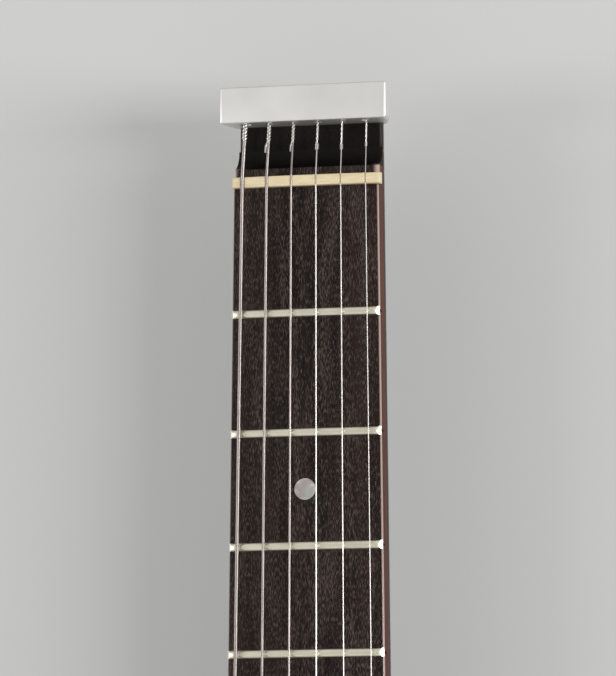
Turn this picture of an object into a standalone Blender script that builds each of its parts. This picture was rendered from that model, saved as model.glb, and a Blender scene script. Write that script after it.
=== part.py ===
"""Travel guitar with no headstock: a neck-through beam with two glued wings, strings anchored by
their ball ends in a metal block at the head and tuned by worm machines set in the body behind
the bridge. The guitar lies on its back, strings up (+Z), head towards +Y, treble side at +X.
Distances along the neck are measured from the front edge of the nut towards the bridge."""

import math

import bmesh
import bpy
import numpy as np
from mathutils import Matrix, Vector

# Driving sizes in metres
SCALE = 0.6477
FRET_COUNT = 20
SEAT = 0.0003
FINE_FIT = 0.0002

# How far cutters reach past a face, how deep joined shapes overlap, and a small broken edge
PAST = 0.0100
DRILL_PAST = 0.0020
JOIN = 0.0010
CHAMFER = 0.0004

# Fingerboard
NUT_WIDTH = 0.0430
WIDTH_GAIN = 0.0240
BOARD_THICK = 0.0058
BOARD_RADIUS = 0.400
BOARD_TAIL = 0.0085
BOARD_LEDGE = 0.0023
COVE_RADIUS = 0.0053
FRET_WIDTH = 0.0021
FRET_HEIGHT = 0.0009
FRET_TANG = 0.0005
FRET_TANG_DEPTH = 0.0026
FRET_END_BEVEL = 0.0008
FRET_SHOULDER = (0.72, 0.66)
DOT_DIAMETER = 0.0062
DOT_DEPTH = 0.0012
DOT_SPREAD = 0.0130
DOT_FRETS = (3, 5, 7, 9, 15, 17, 19)
OCTAVE_FRET = 12

# Nut
NUT_THICK = 0.0031
NUT_RISE = 0.0019
NUT_SET_IN = 0.0050

# Strings, thickest first
STRING_DIAMETERS = (0.00117, 0.00091, 0.00066, 0.00043, 0.00033, 0.00025)
STRING_SPREAD_NUT = 0.0365
STRING_SPREAD_SADDLE = 0.0524
STRING_FLOOR_NUT = 0.0013
STRING_FLOOR_SADDLE = 0.0050
LOCK_TWIST = 0.0085
LOCK_WIDTH = 1.9
LOCK_TAPER = 0.0005
BALL_DIAMETER = 0.0038
BALL_LENGTH = 0.0034
BALL_EDGE = 0.0006
BALL_FACE = 0.7
WRAP_TURNS = 2
WRAP_SPACE = 0.0005

# Head block
BLOCK_GAP = 0.0185
BLOCK_LENGTH = 0.0105
BLOCK_WIDTH = 0.0494
BLOCK_RISE = 0.0030
BLOCK_STRAIGHT = 0.0028
BLOCK_HEIGHT = 0.0230
BLOCK_EDGE = 0.0006
STRING_HOLE = 0.0026
STRING_HOLE_SINK = 0.0040
STRING_HOLE_MOUTH = 0.0031
BALL_POCKET_DEPTH = 0.0055
BLOCK_SCREW_SPREAD = 0.0260
BLOCK_SCREW_DIAMETER = 0.0032
BLOCK_SCREW_HEAD = 0.0058
BLOCK_SCREW_HEAD_LENGTH = 0.0030
BLOCK_SCREW_SOCKET = 0.0028
BLOCK_SCREW_SOCKET_DEPTH = 0.0016
SCREW_POINT = 0.0010
BLOCK_SCREW_REACH = 0.0120
BLOCK_SCREW_HEIGHT = 0.0330

# Neck and body
NECK_DEPTH_NUT = 0.0140
NECK_DEPTH_HEEL = 0.0165
NECK_SHOULDER = 2.1
HEEL_START = 0.385
HEEL_END = 0.445
BODY_THICK = 0.0400
BODY_START = 0.4100
BODY_END = 0.7777
BODY_HALF = 0.1000
BEAM_HALF = 0.0440
BODY_EDGE = 0.0040
WING_OVERLAP = 0.0140
DECK_TOP = 0.0300
DECK_BOTTOM = 0.0180
DECK_START = 0.6700
RECESS_START = 0.6840
TAIL_BLOCK = 0.0117
WINDOW_START = 0.6820
WINDOW_END = 0.7620
WINDOW_RIM = 0.0140
WINDOW_CORNER = 0.0080

# Outline of a wing: share of the body's length, and share of the way from the beam to the side
CUTAWAY_ROOT = 0.185
HORN_SHARE = 0.465
WING_LINE = (
    (0.136, 0.036), (0.040, 0.200), (0.0, HORN_SHARE), (0.040, 0.720), (0.158, 0.732),
    (0.313, 0.643), (0.476, 0.821), (0.640, 0.965), (0.780, 1.0), (0.900, 0.965),
    (0.973, 0.850), (1.0, 0.607),
)

# Truss rod
TRUSS_START = 0.0060
TRUSS_OVERHANG = 0.0100
TRUSS_WIDTH = 0.0060
TRUSS_DEPTH = 0.0092
TRUSS_ROD = 0.0046
TRUSS_BAR = 0.0024
TRUSS_BLOCK = 0.0100

# Tuning machines, three on each side
POST_FIRST = 0.0550
POST_SPACING = 0.0260
POST_SPREAD = 0.0540
POST_SHAFT = 0.0028
POST_WAIST = 0.0027
POST_CAP = 0.0034
POST_COLLAR = 0.0040
POST_RISE = 0.0125
POST_EDGE = 0.0006
POST_CAP_HEIGHT = 0.0020
POST_CAP_SLOPE = 0.0007
POST_COLLAR_HEIGHT = 0.0025
POST_COLLAR_SLOPE = 0.0012
POST_FOOT = 0.0010
WRAP_DROP = 0.0040
PLATE_THICK = 0.0015
PLATE_WIDTH = 0.0210
PLATE_END = 0.0110
EAR_THICK = 0.0015
EAR_WIDTH = 0.0066
EAR_DROP = 0.0032
GEAR_TEETH = 14
GEAR_MODULE = 0.0006
GEAR_THICK = 0.0040
GEAR_HEADROOM = 0.0009
GEAR_TIP = 0.0005
GEAR_ROOT = 0.0008
TOOTH_ROOT_SHARE = 0.30
TOOTH_TIP_SHARE = 0.10
WORM_PITCH = 0.0022
WORM_TIP = 0.0005
WORM_ROOT = 0.0016
WORM_TURNS = 3
THREAD_FOOT_SHARE = 0.26
THREAD_FLANK_SHARE = 0.14
MESH_SLACK = 0.00025
KEY_SHAFT = 0.0015
KEY_STUB = 0.0012
KEY_STUB_PAST = 0.0005
KEY_NECK = 0.0225
KEY_BUTTON_LENGTH = 0.0160
KEY_BUTTON_WIDTH = 0.0150
KEY_BUTTON_THICK = 0.0062
KEY_BUTTON_LINE = (
    (0.06, 0.32, 0.70), (0.22, 0.82, 0.95), (0.53, 1.0, 1.0), (0.78, 0.80, 0.90),
    (0.95, 0.42, 0.60), (1.0, 0.20, 0.30),
)

# Bridge and pickup
BRIDGE_STUD_SPREAD = 0.0740
BRIDGE_LENGTH = 0.0860
BRIDGE_WIDTH = 0.0115
BRIDGE_BOTTOM = 0.0030
BRIDGE_THICK = 0.0050
SADDLE_WIDTH = 0.0074
SADDLE_LENGTH = 0.0070
SADDLE_NOSE = 0.0008
SADDLE_RIDGE = 0.0004
BRIDGE_ROUND = 0.85
STUD_PIN = 0.0050
STUD_SHAFT = 0.0060
STUD_WHEEL = 0.0160
STUD_WHEEL_THICK = 0.0020
STUD_DEPTH = 0.0180
PICKUP_CENTRE = 0.6100
PICKUP_LENGTH = 0.0700
PICKUP_WIDTH = 0.0380
PICKUP_POCKET_DEPTH = 0.0160
PICKUP_STRING_GAP = 0.0035
PICKUP_EDGE = 0.0025
PICKUP_CLEARANCE = 0.0008
POLE_DIAMETER = 0.0046
POLE_RISE = 0.0006

# Volume control, jack and rear cavity, all in the treble wing
CONTROL_AT = 0.6000
CAVITY_WALL = 0.0050
CUP_WALL = 0.0100
CAVITY_START = 0.5880
CAVITY_END = 0.6400
CAVITY_ROOF = 0.0080
COVER_LIP = 0.0035
COVER_THICK = 0.0020
POT_DIAMETER = 0.0164
POT_HEIGHT = 0.0110
BUSH_DIAMETER = 0.0074
BUSH_RISE = 0.0022
BUSH_NUT = 0.0120
BUSH_NUT_THICK = 0.0016
SHAFT_DIAMETER = 0.0060
SHAFT_RISE = 0.0120
SHAFT_FOOT = 0.0030
KNOB_DIAMETER = 0.0190
KNOB_HEIGHT = 0.0145
KNOB_LIFT = 0.0030
KNOB_TAPER = 0.0010
KNOB_EDGE = 0.0012
JACK_AT = 0.6260
JACK_HEIGHT = 0.0200
JACK_CUP = 0.0200
JACK_CUP_DEPTH = 0.0130
JACK_FLANGE = 0.0180
JACK_FLANGE_THICK = 0.0015
JACK_BARREL = 0.0100
JACK_BORE = 0.0064
JACK_LENGTH = 0.0230
JACK_BORE_DEPTH = 0.0200

# Strap buttons
STRAP_HEAD = 0.0140
STRAP_NECK = 0.0080
STRAP_BASE = 0.0130
STRAP_HEIGHT = 0.0135
STRAP_RIM = 0.0020
STRAP_CAP = 0.0045
STRAP_FOOT = 0.0040
STRAP_SCREW = 0.0034
STRAP_SCREW_LENGTH = 0.0180
STRAP_SCREW_POINT = 0.0030
TAIL_STRAP_HEIGHT = 0.0240
HORN_STRAP_HEIGHT = 0.0200

# Facets
KNOB_SIDES = 16
ROUND_SIDES = 12
SMALL_SIDES = 8
WRAP_SIDES = 8
THREAD_STEPS = 4
NECK_SEGMENTS = 16
MERGE = 0.00001

# Places worked out from the sizes
HEAD_REACH = BLOCK_GAP + BLOCK_LENGTH
NUT_Y = (HEAD_REACH + BODY_END + SEAT + STRAP_HEIGHT) / 2 - HEAD_REACH
BOARD_BOTTOM = BODY_THICK + SEAT
BOARD_TOP = BOARD_BOTTOM + BOARD_THICK
LAST_FRET = SCALE * (1 - 2 ** (-FRET_COUNT / 12))
BOARD_END = LAST_FRET + BOARD_TAIL
BLOCK_TOP = BOARD_TOP + BLOCK_RISE
BLOCK_STRING_Z = BLOCK_TOP - STRING_HOLE_SINK
TRUSS_END = BOARD_END + TRUSS_OVERHANG
BODY_LENGTH = BODY_END - BODY_START
HORN_X = BEAM_HALF + (BODY_HALF - BEAM_HALF) * HORN_SHARE
WINDOW_REACH = BODY_HALF - WINDOW_RIM
JACK_SEAT = BODY_HALF - JACK_CUP_DEPTH
CAVITY_INNER = BEAM_HALF + CAVITY_WALL
CAVITY_OUTER = JACK_SEAT - CUP_WALL
CONTROL_X = (CAVITY_INNER + CAVITY_OUTER) / 2
PICKUP_FLOOR = BODY_THICK - PICKUP_POCKET_DEPTH
POST_X = POST_SPREAD / 2
PLATE_TOP = DECK_BOTTOM - SEAT
PLATE_BOTTOM = PLATE_TOP - PLATE_THICK
GEAR_TOP = PLATE_BOTTOM - GEAR_HEADROOM
WORM_Z = GEAR_TOP - GEAR_THICK / 2
GEAR_PITCH = GEAR_MODULE * GEAR_TEETH / 2
WORM_LEAD = math.pi * GEAR_MODULE
WORM_HALF = WORM_TURNS * WORM_LEAD / 2 + GEAR_MODULE
MESH_DISTANCE = GEAR_PITCH + WORM_PITCH + MESH_SLACK
POST_TOP = DECK_TOP + POST_RISE
WRAP_TOP = POST_TOP - WRAP_DROP
BRIDGE_Z = BODY_THICK + BRIDGE_BOTTOM
CAVITY_TOP = BODY_THICK - CAVITY_ROOF
TAIL_INNER = BODY_END - TAIL_BLOCK

parts = bpy.data.collections.new("travel_guitar")
cutters = bpy.data.collections.new("cutters")


def start_scene():
    """Empty the scene and give it one collection for the parts and one for the cutters."""
    for item in list(bpy.data.objects):
        bpy.data.objects.remove(item, do_unlink=True)
    for group in (parts, cutters):
        bpy.context.scene.collection.children.link(group)


def finish(name, colour, roughness, metallic):
    """A plain material from a colour, a roughness and a metallic value."""
    found = bpy.data.materials.get(name)
    if found:
        return found
    made = bpy.data.materials.new(name)
    made.use_nodes = True
    shader = made.node_tree.nodes["Principled BSDF"]
    shader.inputs["Base Color"].default_value = (*colour, 1.0)
    shader.inputs["Roughness"].default_value = roughness
    shader.inputs["Metallic"].default_value = metallic
    return made


def board_wood():
    return finish("dark_board_wood", (0.035, 0.024, 0.019), 0.45, 0.0)


def body_wood():
    return finish("red_brown_wood", (0.12, 0.045, 0.025), 0.35, 0.0)


def blasted_alloy():
    return finish("blasted_alloy", (0.66, 0.64, 0.61), 0.45, 1.0)


def plated_steel():
    return finish("plated_steel", (0.75, 0.74, 0.72), 0.18, 1.0)


def black_plastic():
    return finish("black_plastic", (0.02, 0.02, 0.02), 0.4, 0.0)


def along(distance):
    """World Y of a place at this distance from the front edge of the nut."""
    return NUT_Y - distance


def fret_distance(number):
    return SCALE * (1 - 2 ** (-number / 12))


def board_half(distance):
    """Half the width of the fingerboard at a distance from the nut."""
    return (NUT_WIDTH + WIDTH_GAIN * distance) / 2


def crown_drop(x):
    """How far the round top of the fingerboard lies under its middle line."""
    return BOARD_RADIUS - math.sqrt(BOARD_RADIUS**2 - x**2)


def string_x(number, distance):
    """Strings fan out evenly from the nut to the saddles, and run straight on both ways."""
    spread = STRING_SPREAD_NUT + (STRING_SPREAD_SADDLE - STRING_SPREAD_NUT) * distance / SCALE
    return spread * (number / 5 - 0.5)


def place(mesh_object, group, material):
    group.objects.link(mesh_object)
    if group is cutters:
        mesh_object.hide_render = True
        mesh_object.display_type = "WIRE"
    if material:
        mesh_object.data.materials.append(material)
    return mesh_object


def object_from(name, shape, material=None, group=None, origin=(0, 0, 0)):
    """Close a bmesh into a named object whose origin may sit on a joint axis."""
    bmesh.ops.recalc_face_normals(shape, faces=shape.faces)
    bmesh.ops.translate(shape, verts=shape.verts, vec=-Vector(origin))
    mesh = bpy.data.meshes.new(name)
    shape.to_mesh(mesh)
    shape.free()
    made = bpy.data.objects.new(name, mesh)
    made.location = origin
    return place(made, group or parts, material)


def add_box(shape, low, high):
    """Add a box between two corners to a bmesh."""
    low = Vector(low)
    high = Vector(high)
    size = high - low
    matrix = Matrix.Translation((low + high) / 2) @ Matrix.Diagonal((*size, 1.0))
    bmesh.ops.create_cube(shape, size=1.0, matrix=matrix)


def add_cylinder(shape, start, end, radius, sides):
    """Add a closed cylinder between two points to a bmesh."""
    start = Vector(start)
    end = Vector(end)
    turn = (end - start).to_track_quat("Z", "Y").to_matrix().to_4x4()
    bmesh.ops.create_cone(
        shape, cap_ends=True, segments=sides, radius1=radius, radius2=radius,
        depth=(end - start).length, matrix=Matrix.Translation((start + end) / 2) @ turn,
    )


def add_loft(shape, rings):
    """Skin rings of equal point counts in order, and cap the first and the last."""
    loops = [[shape.verts.new(point) for point in ring] for ring in rings]
    count = len(loops[0])
    for near, far in zip(loops, loops[1:]):
        for i in range(count):
            j = (i + 1) % count
            shape.faces.new((near[i], near[j], far[j], far[i]))
    shape.faces.new(loops[0])
    shape.faces.new(loops[-1])


def boolean(target, tool, operation):
    """A live exact Boolean on the target."""
    modifier = target.modifiers.new(operation.lower() + "_" + tool.name, "BOOLEAN")
    modifier.operation = operation
    modifier.object = tool
    modifier.solver = "EXACT"


def cut(target, tool):
    boolean(target, tool, "DIFFERENCE")


def bevel(target, width, segments=2, angle=40):
    modifier = target.modifiers.new("rounded_edges", "BEVEL")
    modifier.width = width
    modifier.segments = segments
    modifier.limit_method = "ANGLE"
    modifier.angle_limit = math.radians(angle)
    modifier.harden_normals = False


def cutter_of_boxes(name, boxes):
    shape = bmesh.new()
    for low, high in boxes:
        add_box(shape, low, high)
    return object_from(name, shape, group=cutters)


def cutter_of_cylinders(name, rods, sides):
    shape = bmesh.new()
    for start, end, radius in rods:
        add_cylinder(shape, start, end, radius, sides)
    return object_from(name, shape, group=cutters)


def turned(name, profile, sides, matrix, material=None, group=None):
    """Turn a profile of (radius, height) points, listed top to bottom, about its own Z axis."""
    mesh = bpy.data.meshes.new(name)
    points = [(radius, 0, height) for radius, height in profile]
    mesh.from_pydata(points, [(i, i + 1) for i in range(len(points) - 1)], [])
    made = bpy.data.objects.new(name, mesh)
    made.matrix_world = matrix
    screw = made.modifiers.new("turned", "SCREW")
    screw.steps = sides
    screw.render_steps = sides
    screw.use_merge_vertices = True
    screw.merge_threshold = MERGE
    return place(made, group or parts, material)


def facing(origin, direction):
    """A frame at the origin whose Z axis points along a direction."""
    turn = Vector(direction).to_track_quat("Z", "Y").to_matrix().to_4x4()
    return Matrix.Translation(origin) @ turn


def extruded(name, outline, low, high, material=None, group=None):
    """A flat outline of (x, y) points as a solid between two heights."""
    curve = bpy.data.curves.new(name, "CURVE")
    curve.dimensions = "2D"
    curve.fill_mode = "BOTH"
    curve.extrude = (high - low) / 2
    spline = curve.splines.new("POLY")
    spline.points.add(len(outline) - 1)
    for point, (x, y) in zip(spline.points, outline):
        point.co = (x, y, 0, 1)
    spline.use_cyclic_u = True
    drawn = bpy.data.objects.new(name + "_drawn", curve)
    drawn.location.z = (low + high) / 2
    bpy.context.scene.collection.objects.link(drawn)
    bpy.context.view_layer.update()
    seen = drawn.evaluated_get(bpy.context.evaluated_depsgraph_get())
    mesh = bpy.data.meshes.new_from_object(seen)
    shape = bmesh.new()
    shape.from_mesh(mesh)
    bmesh.ops.remove_doubles(shape, verts=shape.verts, dist=MERGE)
    bmesh.ops.transform(shape, matrix=drawn.matrix_world, verts=shape.verts)
    bpy.data.objects.remove(drawn, do_unlink=True)
    bpy.data.meshes.remove(mesh)
    return object_from(name, shape, material, group)


def smooth_line(points, steps):
    """A smooth line through the points: Catmull-Rom between neighbours."""
    points = np.array(points, float)
    padded = np.vstack([2 * points[0] - points[1], points, 2 * points[-1] - points[-2]])
    line = []
    for i in range(1, len(padded) - 2):
        a, b, c, d = padded[i - 1 : i + 3]
        for t in np.arange(steps) / steps:
            line.append(
                b + 0.5 * t * (c - a + t * (2 * a - 5 * b + 4 * c - d + t * (3 * (b - c) + d - a)))
            )
    line.append(points[-1])
    return line


def neck_ring(distance):
    """Cross-section of the beam: a round-backed neck that swells through the heel to a plank."""
    share = min(max((distance - HEEL_START) / (HEEL_END - HEEL_START), 0), 1)
    share = share * share * (3 - 2 * share)
    half = board_half(distance) * (1 - share) + BEAM_HALF * share
    fall = NECK_DEPTH_NUT + (NECK_DEPTH_HEEL - NECK_DEPTH_NUT) * distance / HEEL_START
    depth = min(fall, NECK_DEPTH_HEEL) * (1 - share) + BODY_THICK * share
    ring = []
    for i in range(NECK_SEGMENTS + 1):
        angle = math.pi * i / NECK_SEGMENTS
        across = math.copysign(abs(math.cos(angle)) ** (2 / NECK_SHOULDER), math.cos(angle))
        down = abs(math.sin(angle)) ** (2 / NECK_SHOULDER)
        quarter = NECK_SEGMENTS // 4
        if i <= quarter:
            plank = (1, i / quarter)
        elif i >= 3 * quarter:
            plank = (-1, (NECK_SEGMENTS - i) / quarter)
        else:
            plank = (1 - 2 * (i - quarter) / (2 * quarter), 1)
        x = across * (1 - share) + plank[0] * share
        z = down * (1 - share) + plank[1] * share
        ring.append((half * x, along(distance), BODY_THICK - depth * z))
    return ring


def post_places():
    """Centre of each string post in string order: the near posts take the outer strings."""
    bass = [SCALE + POST_FIRST + POST_SPACING * i for i in range(3)]
    return [(-POST_X, at) for at in bass] + [(POST_X, at) for at in reversed(bass)]


def make_neck_beam():
    heel = [HEEL_START + (HEEL_END - HEEL_START) * i / 6 for i in range(7)]
    stations = [-(BLOCK_GAP - SEAT), 0.0] + heel + [BODY_END]
    shape = bmesh.new()
    add_loft(shape, [neck_ring(at) for at in stations])
    beam = object_from("neck_beam", shape, body_wood())
    wide = BEAM_HALF + PAST
    over = BODY_THICK + PAST
    truss = TRUSS_WIDTH / 2 + SEAT
    pickup_x = PICKUP_LENGTH / 2 + PICKUP_CLEARANCE
    pickup_y = PICKUP_WIDTH / 2 + PICKUP_CLEARANCE
    pockets = cutter_of_boxes("beam_pockets", [
        ((-truss, along(TRUSS_END), BODY_THICK - TRUSS_DEPTH - SEAT), (truss, along(TRUSS_START), over)),
        ((-pickup_x, along(PICKUP_CENTRE) - pickup_y, PICKUP_FLOOR),
         (pickup_x, along(PICKUP_CENTRE) + pickup_y, over)),
        ((-wide, along(TAIL_INNER), DECK_TOP), (wide, along(DECK_START), over)),
        ((-wide, along(TAIL_INNER), -PAST), (wide, along(RECESS_START), DECK_BOTTOM)),
    ])
    cut(beam, pockets)
    rods = [
        ((x, along(at), DECK_BOTTOM - DRILL_PAST), (x, along(at), DECK_TOP + DRILL_PAST),
         POST_SHAFT + SEAT)
        for x, at in post_places()
    ]
    for side in (-1, 1):
        x = side * BRIDGE_STUD_SPREAD / 2
        floor = BODY_THICK - STUD_DEPTH - SEAT
        rods.append(((x, along(SCALE), floor), (x, along(SCALE), over), STUD_SHAFT / 2 + SEAT))
        x = side * BLOCK_SCREW_SPREAD / 2
        deep = along(-BLOCK_GAP) - BLOCK_SCREW_REACH - SEAT
        rods.append((
            (x, deep, BLOCK_SCREW_HEIGHT), (x, along(-HEAD_REACH), BLOCK_SCREW_HEIGHT),
            BLOCK_SCREW_DIAMETER / 2 + SEAT,
        ))
    rods.append((
        (0, along(BODY_END) - PAST, TAIL_STRAP_HEIGHT),
        (0, along(BODY_END) + STRAP_SCREW_LENGTH + SEAT, TAIL_STRAP_HEIGHT), STRAP_SCREW / 2 + SEAT,
    ))
    cut(beam, cutter_of_cylinders("beam_holes", rods, SMALL_SIDES))


def board_ring(distance):
    """Cross-section of the fingerboard; behind the nut its top falls in a cove to the neck."""
    half = board_half(distance)
    past = -distance - NUT_THICK - BOARD_LEDGE
    lowest = BOARD_TOP
    if past > 0:
        lowest = BOARD_TOP - math.sqrt(max(COVE_RADIUS**2 - (COVE_RADIUS - past) ** 2, 0))
    ring = [(half, along(distance), BOARD_BOTTOM)]
    for share in (1, 0.5, 0, -0.5, -1):
        x = half * share
        ring.append((x, along(distance), min(BOARD_TOP - crown_drop(x), lowest)))
    ring.append((-half, along(distance), BOARD_BOTTOM))
    return ring


def dot_places():
    """Centres of the position dots: midway between two frets, and a pair at the octave."""
    def middle(fret):
        return (fret_distance(fret - 1) + fret_distance(fret)) / 2
    single = [(0.0, middle(fret)) for fret in DOT_FRETS]
    pair = [(side * DOT_SPREAD, middle(OCTAVE_FRET)) for side in (-1, 1)]
    return single + pair


def make_fingerboard():
    cove_start = NUT_THICK + BOARD_LEDGE
    cove = [cove_start + COVE_RADIUS * (1 - math.cos(math.radians(a))) for a in (90, 60, 36, 14, 0)]
    stations = [-at for at in cove] + [0.0, BOARD_END]
    shape = bmesh.new()
    add_loft(shape, [board_ring(at) for at in stations])
    board = object_from("fingerboard", shape, board_wood())
    wide = NUT_WIDTH
    over = BOARD_TOP + PAST
    slots = [(
        (-wide, along(FINE_FIT), BOARD_TOP - NUT_SET_IN),
        (wide, along(-NUT_THICK - FINE_FIT), over),
    )]
    slot_half = FRET_TANG / 2 + FINE_FIT
    for number in range(1, FRET_COUNT + 1):
        at = fret_distance(number)
        slots.append((
            (-wide, along(at) - slot_half, BOARD_TOP - FRET_TANG_DEPTH - SEAT),
            (wide, along(at) + slot_half, over),
        ))
    cut(board, cutter_of_boxes("board_slots", slots))
    pockets = [
        ((x, along(at), BOARD_TOP - crown_drop(x) - DOT_DEPTH), (x, along(at), over), DOT_DIAMETER / 2)
        for x, at in dot_places()
    ]
    cut(board, cutter_of_cylinders("dot_pockets", pockets, ROUND_SIDES))


def make_frets():
    """Crowned wires bent to the round of the board, with a tang in the slot and bevelled ends."""
    half_width = FRET_WIDTH / 2
    tang = FRET_TANG / 2
    shoulder, shoulder_rise = FRET_SHOULDER
    crown = [
        (-half_width, 0.0), (-shoulder * half_width, shoulder_rise), (0.0, 1.0),
        (shoulder * half_width, shoulder_rise), (half_width, 0.0), (tang, 0.0), (tang, None),
        (-tang, None), (-tang, 0.0),
    ]
    for number in range(1, FRET_COUNT + 1):
        at = fret_distance(number)
        half = board_half(at) - SEAT
        rings = []
        for share in (-1, -0.5, 0, 0.5, 1):
            ring = []
            for y, rise in crown:
                end = FRET_END_BEVEL * (rise or 0) if abs(share) == 1 else 0
                x = share * (half - end)
                z = BOARD_TOP - FRET_TANG_DEPTH
                if rise is not None:
                    z = BOARD_TOP - crown_drop(x) + FINE_FIT + rise * FRET_HEIGHT
                ring.append((x, along(at) + y, z))
            rings.append(ring)
        shape = bmesh.new()
        add_loft(shape, rings)
        object_from(f"fret_{number:02d}", shape, finish("fret_wire", (0.62, 0.6, 0.54), 0.25, 1.0))


def nut_string_z(number):
    """Centre of a string over the nut: all strings lie level underneath, thick ones stand higher."""
    floor = BOARD_TOP + STRING_FLOOR_NUT - crown_drop(string_x(number, 0))
    return floor + STRING_DIAMETERS[number] / 2


def saddle_string_z(number):
    floor = BOARD_TOP + STRING_FLOOR_SADDLE - crown_drop(string_x(number, SCALE))
    return floor + STRING_DIAMETERS[number] / 2


def make_nut():
    rings = []
    for at in (0.0, -NUT_THICK):
        half = board_half(0.0)
        low = BOARD_TOP - NUT_SET_IN + FINE_FIT
        ring = [(half, along(at), low)]
        for share in (1, 0.5, 0, -0.5, -1):
            x = half * share
            ring.append((x, along(at), BOARD_TOP + NUT_RISE - crown_drop(x)))
        ring.append((-half, along(at), low))
        rings.append(ring)
    shape = bmesh.new()
    add_loft(shape, rings)
    nut = object_from("nut", shape, finish("bone", (0.70, 0.61, 0.42), 0.4, 0.0))
    slots = []
    for number, diameter in enumerate(STRING_DIAMETERS):
        x = string_x(number, 0)
        half = diameter / 2 + FINE_FIT
        slots.append((
            (x - half, along(PAST), nut_string_z(number) - half),
            (x + half, along(-PAST), BOARD_TOP + PAST),
        ))
    cut(nut, cutter_of_boxes("nut_slots", slots))


def block_outline():
    """End view of the head block: flat top, short straight sides, round back like the neck."""
    half = BLOCK_WIDTH / 2
    straight = BLOCK_TOP - BLOCK_STRAIGHT
    round_depth = BLOCK_HEIGHT - BLOCK_STRAIGHT
    points = [(half, BLOCK_TOP)]
    for i in range(NECK_SEGMENTS + 1):
        angle = math.pi * i / NECK_SEGMENTS
        points.append((half * math.cos(angle), straight - round_depth * math.sin(angle)))
    points.append((-half, BLOCK_TOP))
    return points


def make_head_block():
    rings = []
    for at in (-BLOCK_GAP, -HEAD_REACH):
        rings.append([(x, along(at), z) for x, z in block_outline()])
    shape = bmesh.new()
    add_loft(shape, rings)
    block = object_from("head_block", shape, blasted_alloy())
    bevel(block, BLOCK_EDGE, 2, 50)
    spacing = string_x(1, -HEAD_REACH) - string_x(0, -HEAD_REACH)
    pocket = BALL_DIAMETER / 2 + SEAT
    mouth = STRING_HOLE_MOUTH / 2
    hole = STRING_HOLE / 2
    drill = turned("string_hole_drill", [
        (0, DRILL_PAST), (pocket, DRILL_PAST), (pocket, -BALL_POCKET_DEPTH), (hole, -BALL_POCKET_DEPTH),
        (hole, mouth - hole - BLOCK_LENGTH), (mouth + DRILL_PAST, -BLOCK_LENGTH - DRILL_PAST),
        (0, -BLOCK_LENGTH - DRILL_PAST),
    ], SMALL_SIDES, facing((string_x(0, -HEAD_REACH), along(-HEAD_REACH), BLOCK_STRING_Z), (0, 1, 0)),
        group=cutters)
    row = drill.modifiers.new("six_holes", "ARRAY")
    row.count = len(STRING_DIAMETERS)
    row.use_relative_offset = False
    row.use_constant_offset = True
    row.constant_offset_displace = drill.matrix_world.to_3x3().inverted() @ Vector((spacing, 0, 0))
    row.use_merge_vertices = False
    cut(block, drill)
    deep = along(-HEAD_REACH) - BLOCK_SCREW_HEAD_LENGTH - 2 * SEAT
    sink = BLOCK_SCREW_HEAD / 2 + SEAT
    shank = BLOCK_SCREW_DIAMETER / 2 + SEAT
    sinks = []
    shanks = []
    for side in (-1, 1):
        x = side * BLOCK_SCREW_SPREAD / 2
        z = BLOCK_SCREW_HEIGHT
        sinks.append(((x, deep, z), (x, along(-HEAD_REACH) + DRILL_PAST, z), sink))
        shanks.append(((x, along(-BLOCK_GAP) - DRILL_PAST, z), (x, deep + JOIN, z), shank))
    cut(block, cutter_of_cylinders("screw_head_sinks", sinks, ROUND_SIDES))
    cut(block, cutter_of_cylinders("screw_shank_holes", shanks, SMALL_SIDES))


def make_block_screws():
    """Cap screws that hold the head block on the end of the neck."""
    head = BLOCK_SCREW_HEAD / 2
    shank = BLOCK_SCREW_DIAMETER / 2
    tip = -(BLOCK_LENGTH + BLOCK_SCREW_REACH)
    neck = -(BLOCK_SCREW_HEAD_LENGTH + SEAT)
    socket = BLOCK_SCREW_SOCKET / 2
    floor = -BLOCK_SCREW_SOCKET_DEPTH
    profile = [
        (0, floor), (socket, floor), (socket, -SEAT), (head - SEAT, -SEAT), (head, -2 * SEAT),
        (head, neck), (shank, neck), (shank, tip + SCREW_POINT), (0, tip),
    ]
    for side, name in ((-1, "bass"), (1, "treble")):
        origin = (side * BLOCK_SCREW_SPREAD / 2, along(-HEAD_REACH), BLOCK_SCREW_HEIGHT)
        turned(f"block_screw_{name}", profile, SMALL_SIDES, facing(origin, (0, 1, 0)),
               finish("black_steel", (0.05, 0.05, 0.05), 0.35, 1.0))


def make_truss_rod():
    """A two-way rod: a flat bar over a round rod, joined by end blocks, with a nut at the heel."""
    half = TRUSS_WIDTH / 2
    top = BODY_THICK - SEAT
    low = BODY_THICK - TRUSS_DEPTH
    rod_z = low + TRUSS_ROD / 2
    start = TRUSS_START + SEAT
    end = BOARD_END
    shape = bmesh.new()
    add_box(shape, (-half, along(end), top - TRUSS_BAR), (half, along(start), top))
    rod = object_from("truss_rod", shape, finish("plain_steel", (0.45, 0.45, 0.46), 0.4, 1.0))
    blocks = cutter_of_boxes("truss_end_blocks", [
        ((-half, along(at + TRUSS_BLOCK) + MERGE, low), (half, along(at) - MERGE, top - MERGE))
        for at in (start, end - TRUSS_BLOCK)
    ])
    boolean(rod, blocks, "UNION")
    shape = bmesh.new()
    reach = TRUSS_END - SEAT
    inside = start + TRUSS_BLOCK / 2
    add_cylinder(shape, (0, along(reach), rod_z + MERGE), (0, along(inside), rod_z + MERGE),
                 TRUSS_ROD / 2 - MERGE, SMALL_SIDES)
    boolean(rod, object_from("truss_round_rod", shape, group=cutters), "UNION")


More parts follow.
